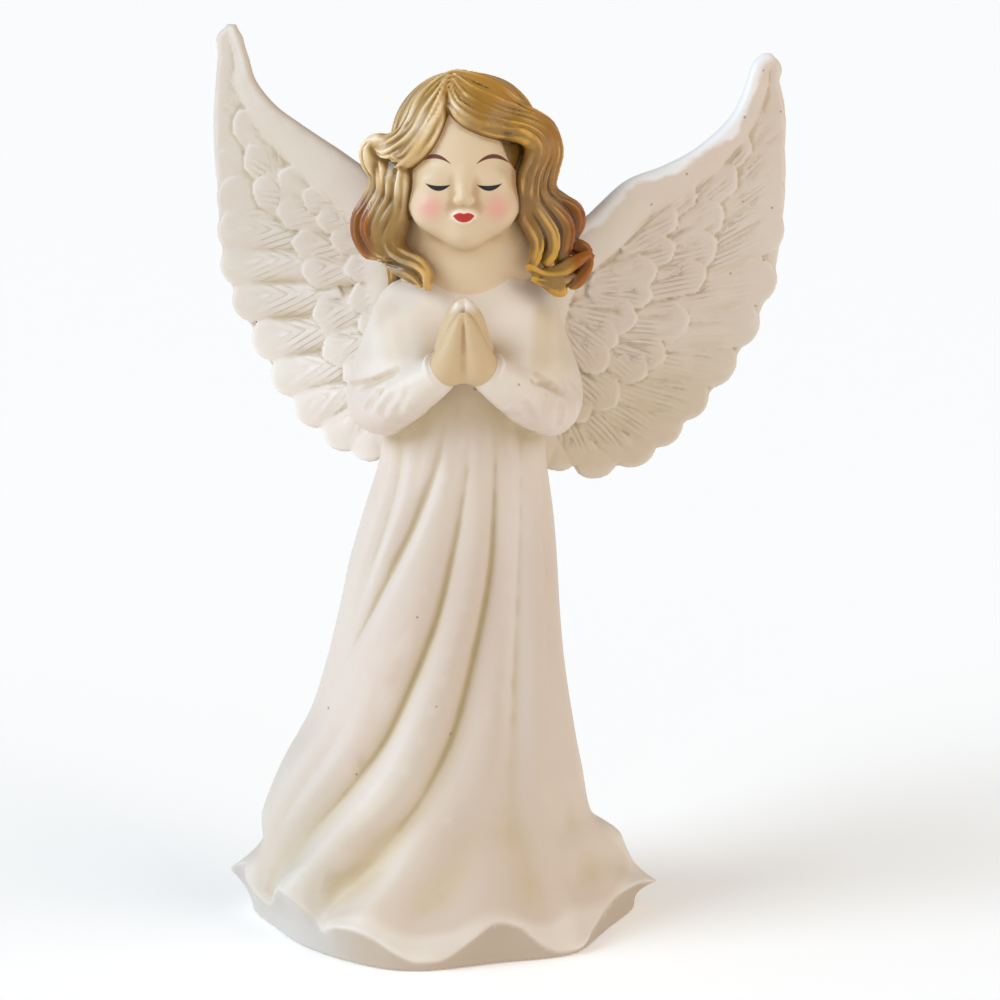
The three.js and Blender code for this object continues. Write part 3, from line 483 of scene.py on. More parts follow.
# ------------------------------------------------------------------ wings
WINGS = [
    dict(out=-1, slope=0.42, slant=.42, step=2.0, half=(3.9, 3.2, 2.7), cut=.12, crown=(1.25, .7, .55), tilt=-.2, line=(.08, .42), lip=.0, fine=1.1, flat=.14, short=[-.7, -.8, .6, 1.6],
         arm=([0, .12, .3, .55, .75, 1], [1.6, 2.8, 5.6, 8.6, 9.0, 7.0], [1.3, 2.0, 2.9, 3.5, 3.2, 2.4]),
         lead=[(-38.2, 150.3), (-36.2, 145.2), (-34.9, 141.0), (-31.6, 137.0), (-27.6, 134.2), (-23.8, 131.8), (-19.6, 129.2), (-14.6, 125.4), (-9.6, 118.0), (-8.4, 108.0), (-8.2, 96.0), (-8.6, 84.0)],
         tips=[(-39.6, 149.8), (-41.0, 144.8), (-41.6, 139.4), (-42.0, 134.0), (-42.0, 128.4), (-42.0, 122.4), (-42.3, 116.0), (-41.9, 109.8), (-39.9, 103.6), (-36.5, 96.9), (-33.2, 90.6), (-29.0, 84.8), (-23.4, 80.0), (-17.8, 77.8)],
         aim=[84, 76, 64, 52, 36, 18, 4, -3, -6, -10, -14, -26, -46, -66],
         row2=[(-37.4, 136.0), (-35.6, 130.0), (-34.6, 124.6), (-31.0, 120.2), (-29.0, 115.2), (-28.0, 109.0), (-25.8, 101.8), (-23.6, 96.2), (-20.9, 91.0), (-16.6, 87.0)],
         aim2=[60, 48, 30, 14, 4, -4, -10, -16, -28, -50],
         row3=[(-30.0, 126.4), (-26.5, 122.8), (-24.3, 119.2), (-21.9, 115.2), (-20.3, 110.6), (-18.8, 105.2), (-17.2, 100.0), (-15.4, 95.2)],
         aim3=[36, 22, 10, 2, -6, -12, -20, -34]),
    dict(out=1, slope=0.28, slant=.10, step=2.1, half=(4.3, 3.5, 2.9), cut=.26, crown=(.5, .36, .32), tilt=-.22, line=(.18, .3), lip=.06, fine=.85, flat=.3, short=[-.4, -.5, .3, .95],
         arm=([0, .12, .3, .55, .75, 1], [2.4, 3.6, 4.6, 7.5, 8.5, 7.0], [1.5, 2.2, 2.7, 3.2, 3.0, 2.4]),
         lead=[(50.4, 145.6), (48.5, 143.4), (46.8, 138.4), (44.2, 134.2), (39.0, 129.8), (33.4, 127.0), (27.0, 124.6), (20.6, 119.0), (12.0, 112.0), (9.0, 102.0), (8.4, 90.0), (8.8, 82.0)],
         tips=[(51.6, 145.2), (53.0, 140.6), (54.2, 135.2), (54.2, 129.4), (54.4, 123.4), (54.3, 117.6), (53.5, 108.6), (50.8, 100.6), (46.9, 93.4), (42.0, 86.8), (37.4, 81.6), (32.4, 77.6), (25.0, 75.0), (17.6, 76.0)],
         aim=[74, 62, 50, 42, 34, 26, 15, 6, -4, -14, -26, -38, -56, -76],
         row2=[(47.0, 133.0), (45.0, 126.6), (44.0, 120.6), (42.7, 115.0), (40.9, 108.8), (38.1, 101.4), (35.2, 95.6), (30.8, 91.4), (26.0, 87.2), (20.6, 84.0)],
         aim2=[56, 46, 34, 26, 14, 2, -12, -28, -42, -60],
         row3=[(39.0, 125.0), (36.4, 120.4), (35.2, 115.0), (32.6, 109.8), (31.4, 106.2), (29.2, 102.0), (26.8, 98.0), (23.6, 93.6)],
         aim3=[42, 32, 24, 12, 2, -12, -28, -44]),
]


def outline(P, x, z):
    """signed distance to a closed outline, inside negative"""
    best = np.full(x.shape, 1e9, f32)
    inside = np.zeros(x.shape, bool)
    for a, b in zip(P, np.roll(P, -1, axis=0)):
        d = (b - a).astype(f32)
        t = np.clip(((x - f32(a[0])) * d[0] + (z - f32(a[1])) * d[1]) / f32(max(float(d @ d), 1e-9)), 0, 1)
        best = np.minimum(best, (x - f32(a[0]) - t * d[0]) ** 2 + (z - f32(a[1]) - t * d[1]) ** 2)
        if a[1] != b[1]:
            over = (z >= min(a[1], b[1])) & (z < max(a[1], b[1]))
            inside ^= over & (x < a[0] + (z - a[1]) * (b[0] - a[0]) / (b[1] - a[1]))
    return np.where(inside, -1, 1).astype(f32) * np.sqrt(best)


def make_wing(w):
    s, out = w["slope"], w["out"]
    xs = [p[0] for p in w["tips"] + w["lead"]]
    sl, X, Y, Z = sub([min(xs) - 3, 3, 72], [max(xs) + 3, 27.4, 152.2])
    x, z = (np.array(v, f32) for v in np.broadcast_arrays(X[:, 0, :], Z[0, :, :]))
    front = np.full(x.shape, 0.5, f32)
    back = np.full(x.shape, 0.9, f32)
    rng = np.random.default_rng(5 if out < 0 else 8)
    lead, tips = curve(w["lead"], 60), curve(w["tips"], 80)
    # the plate under the feathers stops a little short of their tips
    mid = np.array([out * 14.0, 108.0])
    u = np.linspace(0, 1, 80)
    short = np.interp(u, [0, .3, .5, 1], w["short"])[:, None]
    inner = tips + unit(mid - tips) * short
    edge = outline(np.vstack([lead, inner[::-1]]), x, z)
    front = front + f32(0.45 * w["crown"][0]) * step01((-edge - 7) / 6).astype(f32)

    barb, hatch, dip = (np.zeros(x.shape, f32) for _ in range(3))
    deep_line, thin = w["line"]

    def feather(tip, aim, length, half, base, crown, tilt, soft, behind, flat=1.0, tip_form=1.4):
        nonlocal front, back, edge, barb, hatch, dip
        a = math.radians(aim)
        d = np.array([math.cos(a) * out, math.sin(a)])
        tip = np.array(tip, float)
        end = tip - d * half * 0.9
        root = tip - d * length
        L = max(np.linalg.norm(end - root), 1e-3)
        px, pz = x - f32(root[0]), z - f32(root[1])
        along = px * f32(d[0]) + pz * f32(d[1])
        across = (-px * f32(d[1]) + pz * f32(d[0])) * f32(out)
        t = np.clip(along / f32(L), -.2, 1.4)
        across = across + f32(half) * (f32(0.07) * (t * t - 0.4) + f32(rng.uniform(-.06, .06)) * np.sin(t * f32(5.0)))
        wide = f32(half) * (0.80 + 0.20 * np.clip(t, 0, 1))
        past = np.maximum(along - f32(L), 0) / f32(0.9) + np.maximum(-along, 0)
        dist = (np.abs(across) ** f32(tip_form) + past ** f32(tip_form)) ** f32(1 / tip_form) - wide
        near = np.clip(-dist / f32(soft), 0, 1)
        round_ = np.sqrt(np.clip(1 - (1 - near) ** 2, 0, 1))
        # a ridge with soft valleys at its sides, which run out towards the tip
        aside = np.clip(across / wide, -1, 1)
        open_ = (1 - 0.55 * step01((t - 0.7) / 0.35)).astype(f32)
        lift = f32(base + crown) - f32(crown) * aside ** 2 * open_ + f32(tilt) * aside * open_ + f32(0.25) * (t - 0.6)
        lift = lift + f32(w["lip"]) * np.exp(-((dist + f32(.5)) / f32(.32)) ** 2)
        # lines cut in beside the shaft, each with its own start and end
        shaft = across - f32(0.22 * half)
        step = f32(w["step"] * rng.uniform(.85, 1.2))
        ph = (np.abs(shaft) - f32(w["slant"]) * along + f32(rng.uniform(0, 3)) ) / step
        no = np.round(ph) + 7 * (shaft > 0)
        h1, h2 = (np.mod(np.sin(no * f32(k) + f32(rng.uniform(0, 6))) * f32(43.7), 1) for k in (12.99, 7.23))
        line = np.exp(-((ph - np.round(ph)) / f32(0.2)) ** 2)
        fade = np.clip((t - 0.05 - 0.45 * h1) * 9, 0, 1) * np.clip((0.72 + 0.4 * h2 - t) * 7, 0, 1) * np.clip(near * 1.5, 0, 1) * (0.35 + 0.65 * h2)
        cut = f32(w["cut"])
        lift = lift - cut * line * fade
        lift = lift - cut * np.exp(-(shaft / f32(0.24)) ** 2) * np.clip(near * 2, 0, 1) * np.clip((1.05 - t) * 4, 0, 1)
        on = dist < 0
        seen = on & (lift > front - 0.1)
        barb = np.where(seen, ph * step / f32(w["fine"]), barb)
        hatch = np.where(seen, np.clip((t - 0.02) * 6, 0, 1) * np.clip(((0.9 if behind < 1 else 1.15) - t) * 4, 0, 1) * np.clip(near * 2, 0, 1), hatch)
        dip = np.where(seen, step01((np.abs(aside) - 0.5) / 0.35) * (1 - step01((t - 0.55) / 0.35)) * np.clip((t - 0.1) * 4, 0, 1), dip * (1 - np.clip(1 - np.abs(dist), 0, 1)))
        ends = f32(deep_line * flat) * (open_ if behind < 1 else np.maximum(open_, f32(.7)))
        front = np.where(on, smax(front, lift, 0.16), front) - ends * np.exp(-(dist / f32(thin)) ** 2)
        if behind < 0.85:      # only the lower feathers of the outer row make the outline
            edge = smin(edge, dist, 0.5)
        back = np.where(on, np.maximum(back, f32(behind) + f32(0.42) * round_ - f32(.24) * aside - cut * f32(.6) * line * fade), back)

    n = len(w["tips"])
    for i in list(range(n))[::-1]:
        half = w["half"][0] * (0.62 + 0.38 * min(1, i / 4))
        flat = w["flat"] + (1 - w["flat"]) * step01((i - 3.5) / 3.5)       # towards the wing tip the feathers are only scratched in
        feather(w["tips"][i], w["aim"][i], 19 - 4 * i / (n - 1) + (4 if i < 4 else 0), half, 0.6, w["crown"][0] * flat, w["tilt"] * flat, 2.8, 0.86 if 0 < i < 5 else 0.8, flat, 1.8)
    for i in range(len(w["row2"])):
        j = rng.uniform(-1, 1, 4)
        feather(w["row2"][i] + 0.7 * j[:2], w["aim2"][i] + 6 * j[2], 12, w["half"][1] * (1 + .12 * j[3]), 0.6 + 0.5 * w["crown"][0], w["crown"][1], w["tilt"], 2.2, 1.1)
    for i in range(len(w["row3"])):
        j = rng.uniform(-1, 1, 4)
        feather(w["row3"][i] + 0.7 * j[:2], w["aim3"][i] + 7 * j[2], 9.5, w["half"][2] * (1 + .14 * j[3]), 0.65 + 0.72 * w["crown"][0], w["crown"][2], w["tilt"], 2.0, 1.4)
    # the smooth arm of the wing, along its leading edge and down beside the body
    m = len(lead)
    best = np.full(x.shape, 99.0, f32)
    pos = np.zeros(x.shape, f32)
    for i in range(m - 1):
        a, b = lead[i], lead[i + 1]
        d = (b - a).astype(f32)
        t = np.clip(((x - f32(a[0])) * d[0] + (z - f32(a[1])) * d[1]) / f32(d @ d), 0, 1)
        dd = np.sqrt((x - f32(a[0]) - t * d[0]) ** 2 + (z - f32(a[1]) - t * d[1]) ** 2)
        pos = np.where(dd < best, (i + t) / (m - 1), pos)
        best = np.minimum(best, dd)
    at, reach_t, high_t = w["arm"]
    reach = np.interp(pos, at, reach_t).astype(f32)
    high = np.interp(pos, at, high_t).astype(f32)
    q = (best - 0.32 * reach) / (0.68 * reach)
    prof = np.clip(1 - np.maximum(q, 0) ** 2, 0, 1)
    arm = high * (0.25 + 0.75 * np.sqrt(prof)) - f32(0.25) * (np.maximum(-q, 0) / f32(.47)) ** 2 * high
    arm = np.where(best < reach, arm, 0)
    front = smax(front, arm, 0.9)
    back = smax(back, 0.7 * arm, 0.9)
    clear = step01((best - reach * 0.8) / (reach * 0.25)).astype(f32)
    w["barbs"] = (sl, hatch * clear, barb, dip * clear, s)
    # into the grid
    plane = f32(8.2) + f32(s) * np.maximum(np.abs(X) - f32(8), 0)
    nn = (Y - plane) / f32(math.sqrt(1 + s * s))
    d = smax(smax(-nn - front[:, None, :], nn - back[:, None, :], 0.5), edge[:, None, :], 1.1)
    wings.put(sl, np.clip(d, -FAR, FAR), 0.6)


for w in WINGS:
    make_wing(w)

# ------------------------------------------------------------------ one skin
zcol = (LO[2] + H * np.arange(N[2])).astype(f32)[None, None, :]
whole = smin(cloth.a, skin.a, 0.35)
whole = smin(whole, wings.a, 1.2)
whole = smin(whole, hair.a, 0.4)
whole = np.maximum(whole, -zcol)
band = f32(3 * H)
whole = np.clip(whole, -band, band)

grid = vdb.FloatGrid(float(band))
grid.copyFromArray(whole)
points, tris, quads = grid.convertToPolygons(isovalue=0.0, adaptivity=0.0)
verts = np.asarray(points, float) * H + LO
faces = np.asarray(quads)
tris = np.asarray(tris)
print("sculpt", verts.shape, faces.shape, tris.shape)

me = bpy.data.meshes.new("angel_figurine_skin")
nq, nt = len(faces), len(tris)
me.vertices.add(len(verts))
me.vertices.foreach_set("co", (verts).astype(f32).ravel())
me.loops.add(nq * 4 + nt * 3)
flat = np.concatenate([faces[:, ::-1].ravel(), tris[:, ::-1].ravel() if nt else np.zeros(0, int)])
me.loops.foreach_set("vertex_index", flat.astype(np.int32))
me.polygons.add(nq + nt)
start = np.concatenate([np.arange(nq) * 4, nq * 4 + np.arange(nt) * 3])
me.polygons.foreach_set("loop_start", start.astype(np.int32))
me.update(calc_edges=True)
me.validate()
angel = bpy.data.objects.new("angel_figurine_skin", me)
bpy.context.scene.collection.objects.link(angel)

# fewer, larger faces where the surface is plain
mod = angel.modifiers.new("fewer", "DECIMATE")
mod.ratio = min(1.0, 190000 / (2 * nq + nt))
deps = bpy.context.evaluated_depsgraph_get()
slim = bpy.data.meshes.new_from_object(angel.evaluated_get(deps))
angel.modifiers.clear()
angel.data = slim
bpy.data.meshes.remove(me)
me = slim
me.name = "angel_figurine_skin"
print("skin", len(me.vertices), len(me.polygons))

co = np.zeros(len(me.vertices) * 3, f32)
me.vertices.foreach_get("co", co)
co = co.reshape(-1, 3).astype(float)
low = co[:, 2] < 0.12
co[low, 2] = 0.0

# ------------------------------------------------------------------ paint regions
d_cloth, d_skin, d_hair, d_wing = (g.at(co) for g in (cloth, skin, hair, wings))
neck = co[:, 2] - (108.3 + 0.05 * (co[:, 0] - 0.9) ** 2)
as_skin = np.where(co[:, 2] > 104, np.maximum(d_cloth - d_skin, neck * 0.8), d_cloth - d_skin)
as_skin = np.minimum(as_skin, d_wing - np.minimum(d_skin, d_cloth))
as_hair = np.minimum(np.minimum(d_skin, d_cloth), d_wing) - d_hair


# hollows and edges: how full a small neighbourhood of each point is
def fullness(radius, step=2):
    v = (whole[::step, ::step, ::step] < 0).astype(f32)
    r = max(1, int(round(radius / (H * step))))
    for _ in range(2):
        for axis in range(3):
            c = np.cumsum(v, axis=axis, dtype=f32)
            pad = [(0, 0)] * 3
            pad[axis] = (r + 1, r)
            c = np.pad(c, pad, mode="edge")
            first = [slice(None)] * 3
            first[axis] = slice(0, r + 1)
            c[tuple(first)] = 0
            n = v.shape[axis]
            a = [slice(None)] * 3
            b = [slice(None)] * 3
            a[axis] = slice(2 * r + 1, 2 * r + 1 + n)
            b[axis] = slice(0, n)
            v = (c[tuple(a)] - c[tuple(b)]) / f32(2 * r + 1)
    q = np.clip((co - LO) / (H * step), 0, np.array(v.shape) - 1.001)
    i = q.astype(int)
    f = q - i
    out = np.zeros(len(co))
    for dx in (0, 1):
        for dy in (0, 1):
            for dz in (0, 1):
                wgt = np.abs(1 - dx - f[:, 0]) * np.abs(1 - dy - f[:, 1]) * np.abs(1 - dz - f[:, 2])
                out += wgt * v[i[:, 0] + dx, i[:, 1] + dy, i[:, 2] + dz]
    return out


strand = fullness(0.45, 1)
fine = fullness(0.7)
broad = fullness(2.2)
wide_ = fullness(4.8)
tr_ = rows(TRUNK, np.clip(co[:, 2], 0, 119))
th_ = np.degrees(np.arctan2(co[:, 0] - tr_[:, 0], -(co[:, 1] - tr_[:, 1]) * tr_[:, 2] / tr_[:, 3]))
zi = np.clip(co[:, 2] / 0.25, 0, 480).astype(int)
groove = np.zeros(len(co))
for at, gro in groove_at:
    off = np.abs((th_ - at[zi] + 540) % 360 - 180) * np.radians(1.0) * tr_[:, 2]
    groove = np.maximum(groove, np.clip(gro[zi] / 0.8, 0, 1) * np.exp(-(off / 1.15) ** 2))
groove[co[:, 2] > 94] = 0


def lead_distance(w):
    P = curve(w["lead"], 60)
    best = np.full(len(co), 99.0)
    for a, b in zip(P[:-1], P[1:]):
        d = b - a
        t = np.clip(((co[:, 0] - a[0]) * d[0] + (co[:, 2] - a[1]) * d[1]) / (d @ d), 0, 1)
        best = np.minimum(best, np.hypot(co[:, 0] - a[0] - t * d[0], co[:, 2] - a[1] - t * d[1]))
    return best


worn = np.where((co[:, 0] > 18) & (co[:, 2] > 110), lead_distance(WINGS[1]), 99.0)

hatch_v, barb_v, dip_v = np.zeros(len(co)), np.zeros(len(co)), np.zeros(len(co))
for w in WINGS:
    sl, hatch, barb, dip, lean = w["barbs"]
    gx, gz = (co[:, 0] - LO[0]) / H - sl[0].start, (co[:, 2] - LO[2]) / H - sl[2].start
    plane = 8.2 + lean * np.maximum(np.abs(co[:, 0]) - 8, 0)
    ok = (gx >= 0) & (gz >= 0) & (gx < hatch.shape[0] - 1) & (gz < hatch.shape[1] - 1) & (d_wing < np.minimum(d_cloth, d_skin)) & (co[:, 1] < plane)
    i, k = np.clip(gx, 0, hatch.shape[0] - 2).astype(int), np.clip(gz, 0, hatch.shape[1] - 2).astype(int)
    fx_, fz_ = gx - i, gz - k
    corner = [(barb[i + a, k + b], np.abs(1 - a - fx_) * np.abs(1 - b - fz_)) for a in (0, 1) for b in (0, 1)]
    even = sum(c * g for c, g in corner)
    spread = np.max([c for c, g in corner], axis=0) - np.min([c for c, g in corner], axis=0)
    hatch_v = np.where(ok, hatch[i, k] * (spread < 1.2), hatch_v)
    barb_v = np.where(ok, even, barb_v)
    dip_v = np.where(ok, dip[i, k], dip_v)
hem_v = eased(HEM, np.clip(th_, -180, 180))


def attribute(name, values):
    a = me.attributes.new(name, "FLOAT", "POINT")
    a.data.foreach_set("value", np.ascontiguousarray(values, f32))


attribute("hair", np.clip(as_hair, -2, 2))
attribute("flesh", np.clip(as_skin, -2, 2))
attribute("wing", np.clip(np.minimum(d_cloth, d_skin) - d_wing, -2, 2))
attribute("strand", strand)
attribute("hollow", fine)
attribute("deep", broad)
attribute("fold", wide_)
attribute("groove", groove)
attribute("worn", np.clip(worn, 0, 20))
attribute("hatch", hatch_v)
attribute("barb", barb_v)
attribute("dip", dip_v)
attribute("wall", np.clip((hem_v - co[:, 2]) / 0.8, 0, 1) * (co[:, 2] < 14))

me.vertices.foreach_set("co", ((co + BODY) / 1000.0).astype(f32).ravel())
me.polygons.foreach_set("use_smooth", np.ones(len(me.polygons), bool))
me.update()


# ------------------------------------------------------------------ paint
def srgb(r, g, b):
    return tuple(((c / 255) / 12.92 if c / 255 <= .04045 else ((c / 255 + .055) / 1.055) ** 2.4) for c in (r, g, b)) + (1.0,)


mat = bpy.data.materials.new("painted_resin")
mat.use_nodes = True
nt_ = mat.node_tree
nodes, links = nt_.nodes, nt_.links
bsdf = nodes["Principled BSDF"]


class V:
    """a value in the shader, with arithmetic"""

    def __init__(self, sock):
        self.s = sock

    def op(self, kind, *others, clamp=False):
        n = nodes.new("ShaderNodeMath")
        n.operation = kind
        n.use_clamp = clamp
        for i, o in enumerate((self,) + others):
            if isinstance(o, V):
                links.new(o.s, n.inputs[i])
            else:
                n.inputs[i].default_value = o
        return V(n.outputs[0])

    def __add__(self, o): return self.op("ADD", o)
    def __sub__(self, o): return self.op("SUBTRACT", o)
    def __mul__(self, o): return self.op("MULTIPLY", o)
    def __truediv__(self, o): return self.op("DIVIDE", o)
    __radd__ = __add__
    __rmul__ = __mul__

    def rsub(self, a):
        n = nodes.new("ShaderNodeMath")
        n.operation = "SUBTRACT"
        n.inputs[0].default_value = a
        links.new(self.s, n.inputs[1])
        return V(n.outputs[0])

    def abs(self): return self.op("ABSOLUTE")
    def max(self, o): return self.op("MAXIMUM", o)
    def min(self, o): return self.op("MINIMUM", o)
    def pow(self, o): return self.op("POWER", o)

    def ramp(self, a, b):
        """0 below a, 1 above b, eased"""
        n = nodes.new("ShaderNodeMapRange")
        n.interpolation_type = "SMOOTHSTEP"
        links.new(self.s, n.inputs[0])
        n.inputs[1].default_value = a
        n.inputs[2].default_value = b
        return V(n.outputs[0])


def attr(name):
    n = nodes.new("ShaderNodeAttribute")
    n.attribute_name = name
    return V(n.outputs["Fac"])


def mix(fac, a, b):
    n = nodes.new("ShaderNodeMix")
    n.data_type = "RGBA"
    if isinstance(fac, V):
        links.new(fac.s, n.inputs[0])
    else:
        n.inputs[0].default_value = fac
    for i, c in ((6, a), (7, b)):
        if isinstance(c, tuple):
            n.inputs[i].default_value = c
        else:
            links.new(c, n.inputs[i])
    return n.outputs[2]


coord = nodes.new("ShaderNodeTexCoord")
obj = coord.outputs["Object"]


def noise(scale, detail=3.0, rough=0.5, stretch=None):
    n = nodes.new("ShaderNodeTexNoise")
    n.inputs["Scale"].default_value = scale
    n.inputs["Detail"].default_value = detail
    n.inputs["Roughness"].default_value = rough
    if stretch:
        mp = nodes.new("ShaderNodeMapping")
        mp.inputs["Scale"].default_value = stretch
        links.new(obj, mp.inputs["Vector"])
        links.new(mp.outputs[0], n.inputs["Vector"])
    else:
        links.new(obj, n.inputs["Vector"])
    return V(n.outputs["Fac"])


sep = nodes.new("ShaderNodeSeparateXYZ")
links.new(obj, sep.inputs[0])
mmx = V(sep.outputs[0]) * 1000.0 - float(BODY[0])
mmy = V(sep.outputs[1]) * 1000.0 - float(BODY[1])
mmz = V(sep.outputs[2]) * 1000.0

a_hair, a_skin, a_wing = attr("hair"), attr("flesh"), attr("wing")
hollow, deep, fold, groove_, worn_ = attr("hollow"), attr("deep"), attr("fold"), attr("groove"), attr("worn")
n_big, n_mid, n_fine = noise(38, 3), noise(150, 4), noise(900, 3)

is_hair = (a_hair + (n_mid - 0.5) * 0.25).ramp(-0.06, 0.06)
is_skin = (a_skin + (n_mid - 0.5) * 0.2).ramp(-0.06, 0.06)
is_wing = a_wing.ramp(-0.3, 0.3)
crease = (hollow + (n_mid - 0.5) * 0.06).ramp(0.525, 0.63)
dell = (deep + (n_big - 0.5) * 0.05).ramp(0.50, 0.63)
valley = (fold + (n_big - 0.5) * 0.05).ramp(0.46, 0.60)
ridge = hollow.ramp(0.47, 0.36)

strand_ = attr("strand")
n_patch = noise(70, 2)

# ivory ground, blushed with pink here and there and tan towards the bottom, with tan and olive left in the hollows as
# the figure's wash together with painted shade; painted light, painted shade and painted highlights follow
ivory = mix(n_big.ramp(0.35, 0.68), srgb(220, 205, 188), srgb(219, 199, 183))
ivory = mix(n_mid.ramp(0.45, 0.75) * 0.2, ivory, srgb(228, 217, 204))
ivory = mix(mmz.ramp(34.0, 4.0) * (mmx.ramp(6.0, 20.0) * -0.25 + 0.4), ivory, srgb(208, 187, 160))
low = mmz.ramp(98.0, 90.0)
# painted shade: the middle front of the skirt darker beige, where the light from the left falls less
ivory = mix(mmx.ramp(-14.0, 0.0) * mmx.ramp(26.0, 10.0) * mmz.ramp(84.0, 58.0) * is_wing.rsub(1.0) * 0.5, ivory, srgb(205, 184, 166))
# painted light: the chest between the arms lightened, lifting the shade beside the hands and sleeves
ivory = mix((mmz - 103.0).abs().ramp(14.0, 7.0) * (mmx - 0.4).abs().ramp(19.0, 12.0) * is_wing.rsub(1.0) * 0.5, ivory, srgb(240, 228, 212))
# painted light: the lower outer part of the left wing whiter, as lit from the left
ivory = mix(is_wing * mmx.ramp(-12.0, -18.0) * mmz.ramp(106.0, 92.0) * 0.5, ivory, srgb(244, 234, 222))
ivory = mix(is_wing * mmx.ramp(-2.0, -8.0) * mmz.ramp(106.0, 116.0) * 0.3, ivory, srgb(198, 180, 158))
ivory = mix(is_wing * mmx.ramp(8.0, 14.0) * mmz.ramp(102.0, 84.0) * 0.45, ivory, srgb(200, 180, 142))
# the figure's wash together with painted shade: tan in the broad fold valleys, strongest low on the skirt
ivory = mix(valley * (low * 0.44 + 0.1) * is_wing.rsub(1.0), ivory, srgb(205, 182, 142))
# painted highlight: a soft pale band down the right of the skirt, the lit wall of the fold valley there
ivory = mix((mmx - 9.2).abs().ramp(4.0, 0.0) * mmz.ramp(24.0, 44.0) * mmz.ramp(86.0, 68.0) * mmy.ramp(0.0, -3.0) * 0.3, ivory, srgb(240, 238, 234))
# the figure's wash together with painted shade: tan and olive darkening in the hollows, creases and fold grooves
ivory = mix(dell * (is_wing * 0.25 + low * 0.25 + 0.15), ivory, srgb(196, 173, 130))
ivory = mix(crease * (is_wing * 0.15 + 0.3), ivory, srgb(172, 150, 104))
ivory = mix((groove_ + (n_mid - 0.5) * 0.3).ramp(0.2, 1.0) * 0.55, ivory, srgb(172, 151, 104))
# the wash together with painted shade: darker along the cut barb lines and in the valleys beside each feather, more on
# the left wing
barb_line = (attr("barb") * (2 * math.pi)).op("COSINE").ramp(0.1, 1.0) * attr("hatch") * is_wing * n_mid.ramp(0.36, 0.6)
ivory = mix(attr("dip") * (mmx.ramp(-2.0, 2.0) * -0.3 + 0.55), ivory, srgb(192, 170, 128))
ivory = mix(barb_line * 0.28, ivory, srgb(176, 152, 118))
# painted highlight: pale on sharp convex edges
ivory = mix(ridge * (is_wing * 0.02 + 0.16), ivory, srgb(244, 239, 232))
# painted highlight: pale on the broad ridges of the lower skirt and along the hem
ivory = mix(fold.ramp(0.43, 0.35) * mmz.ramp(40.0, 22.0) * is_wing.rsub(1.0) * 0.4, ivory, srgb(242, 234, 222))
# painted shade: the upright wall under the hem darker, as it faces away from the light, in a cooler grey on the left
ivory = mix(attr("wall") * (mmx.ramp(-30.0, -16.0) * 0.5 + 0.25), ivory, srgb(176, 156, 132))
ivory = mix(attr("wall") * mmx.ramp(-14.0, -26.0) * 0.4, ivory, srgb(186, 186, 192))
# painted light: a cooler grey tone low on the far left of the skirt, for the cool light from that side
ivory = mix(mmx.ramp(-16.0, -27.0) * mmz.ramp(44.0, 24.0) * 0.3, ivory, srgb(192, 184, 170))
ivory = mix((worn_ + (n_mid - 0.5) * 4.5 + (n_big - 0.5) * 2.0).ramp(2.2, 1.2) * 0.8, ivory, srgb(246, 244, 242))
flesh = mix(n_big.ramp(0.3, 0.7), srgb(229, 206, 172), srgb(222, 195, 159))
# the wash together with painted shade: darker in the hollows of the skin and along the cuffs
flesh = mix(dell * 0.45, flesh, srgb(206, 170, 118))
flesh = mix(crease * 0.6, flesh, srgb(176, 132, 80))
hand = mmz.ramp(113.0, 110.0) * mmy.ramp(-7.5, -9.0)
flesh = mix(hand * 0.75, flesh, srgb(202, 172, 128))
# painted shade together with the wash: dark in the narrow gaps between the fingers
flesh = mix(hand * (strand_ + (n_mid - 0.5) * 0.04).ramp(0.52, 0.60) * 0.4, flesh, srgb(160, 118, 70))
# painted highlight: pale on the fingertips at the top of the hands
flesh = mix(hand * mmz.ramp(106.2, 108.4) * n_mid.ramp(0.4, 0.6) * 0.8, flesh, srgb(242, 236, 226))

# hair: olive brown ground, golden on the crown, amber at the outer curls; dark between the locks, paint together with
# painted shade; cream on the ridges, dry-brushed paint together with painted highlight
left = mmx.ramp(3.0, -3.0)
gold = ((mmz - 133.0) * 0.10 + (mmx - 2.0) * 0.05 + (n_patch - 0.5) * 2.4).ramp(0.0, 1.0)
amber = ((mmx - 1.2).abs() * 0.42 - 6.2 + (n_patch - 0.5) * 3.4).ramp(0.0, 0.9) * mmz.ramp(126.0, 121.0)
amber = amber.max((mmx * 0.3 - 3.3 + (n_patch - 0.5) * 2.4).ramp(0.0, 1.0) * mmz.ramp(121.0, 126.0) * mmz.ramp(140.0, 135.0) * 0.3)
tops = (strand_ + (n_mid - 0.5) * 0.10).ramp(0.46, 0.36)
slots = (strand_ + (n_mid - 0.5) * 0.06).ramp(0.53, 0.62)
fur = mix(n_mid.ramp(0.35, 0.65), srgb(130, 94, 42), srgb(152, 114, 58))
fur = mix(gold * 0.8, fur, srgb(184, 130, 40))
# painted highlight: a pale cream sheen over the upper left of the hair, on the side the light comes from
fur = mix(left * mmz.ramp(116.0, 129.0) * (strand_ + (n_mid - 0.5) * 0.1).ramp(0.56, 0.42) * 0.72, fur, srgb(226, 190, 132))
fur = mix(amber * 0.92, fur, srgb(124, 66, 0))
# paint together with painted shade: dark in the hollows and between the strands, lighter on the lit left
fur = mix(dell * (left * -0.2 + 0.5), fur, srgb(110, 76, 30))
fur = mix(slots * (left * mmz.ramp(124.0, 130.0) * -0.4 + 0.85), fur, srgb(82, 54, 16))
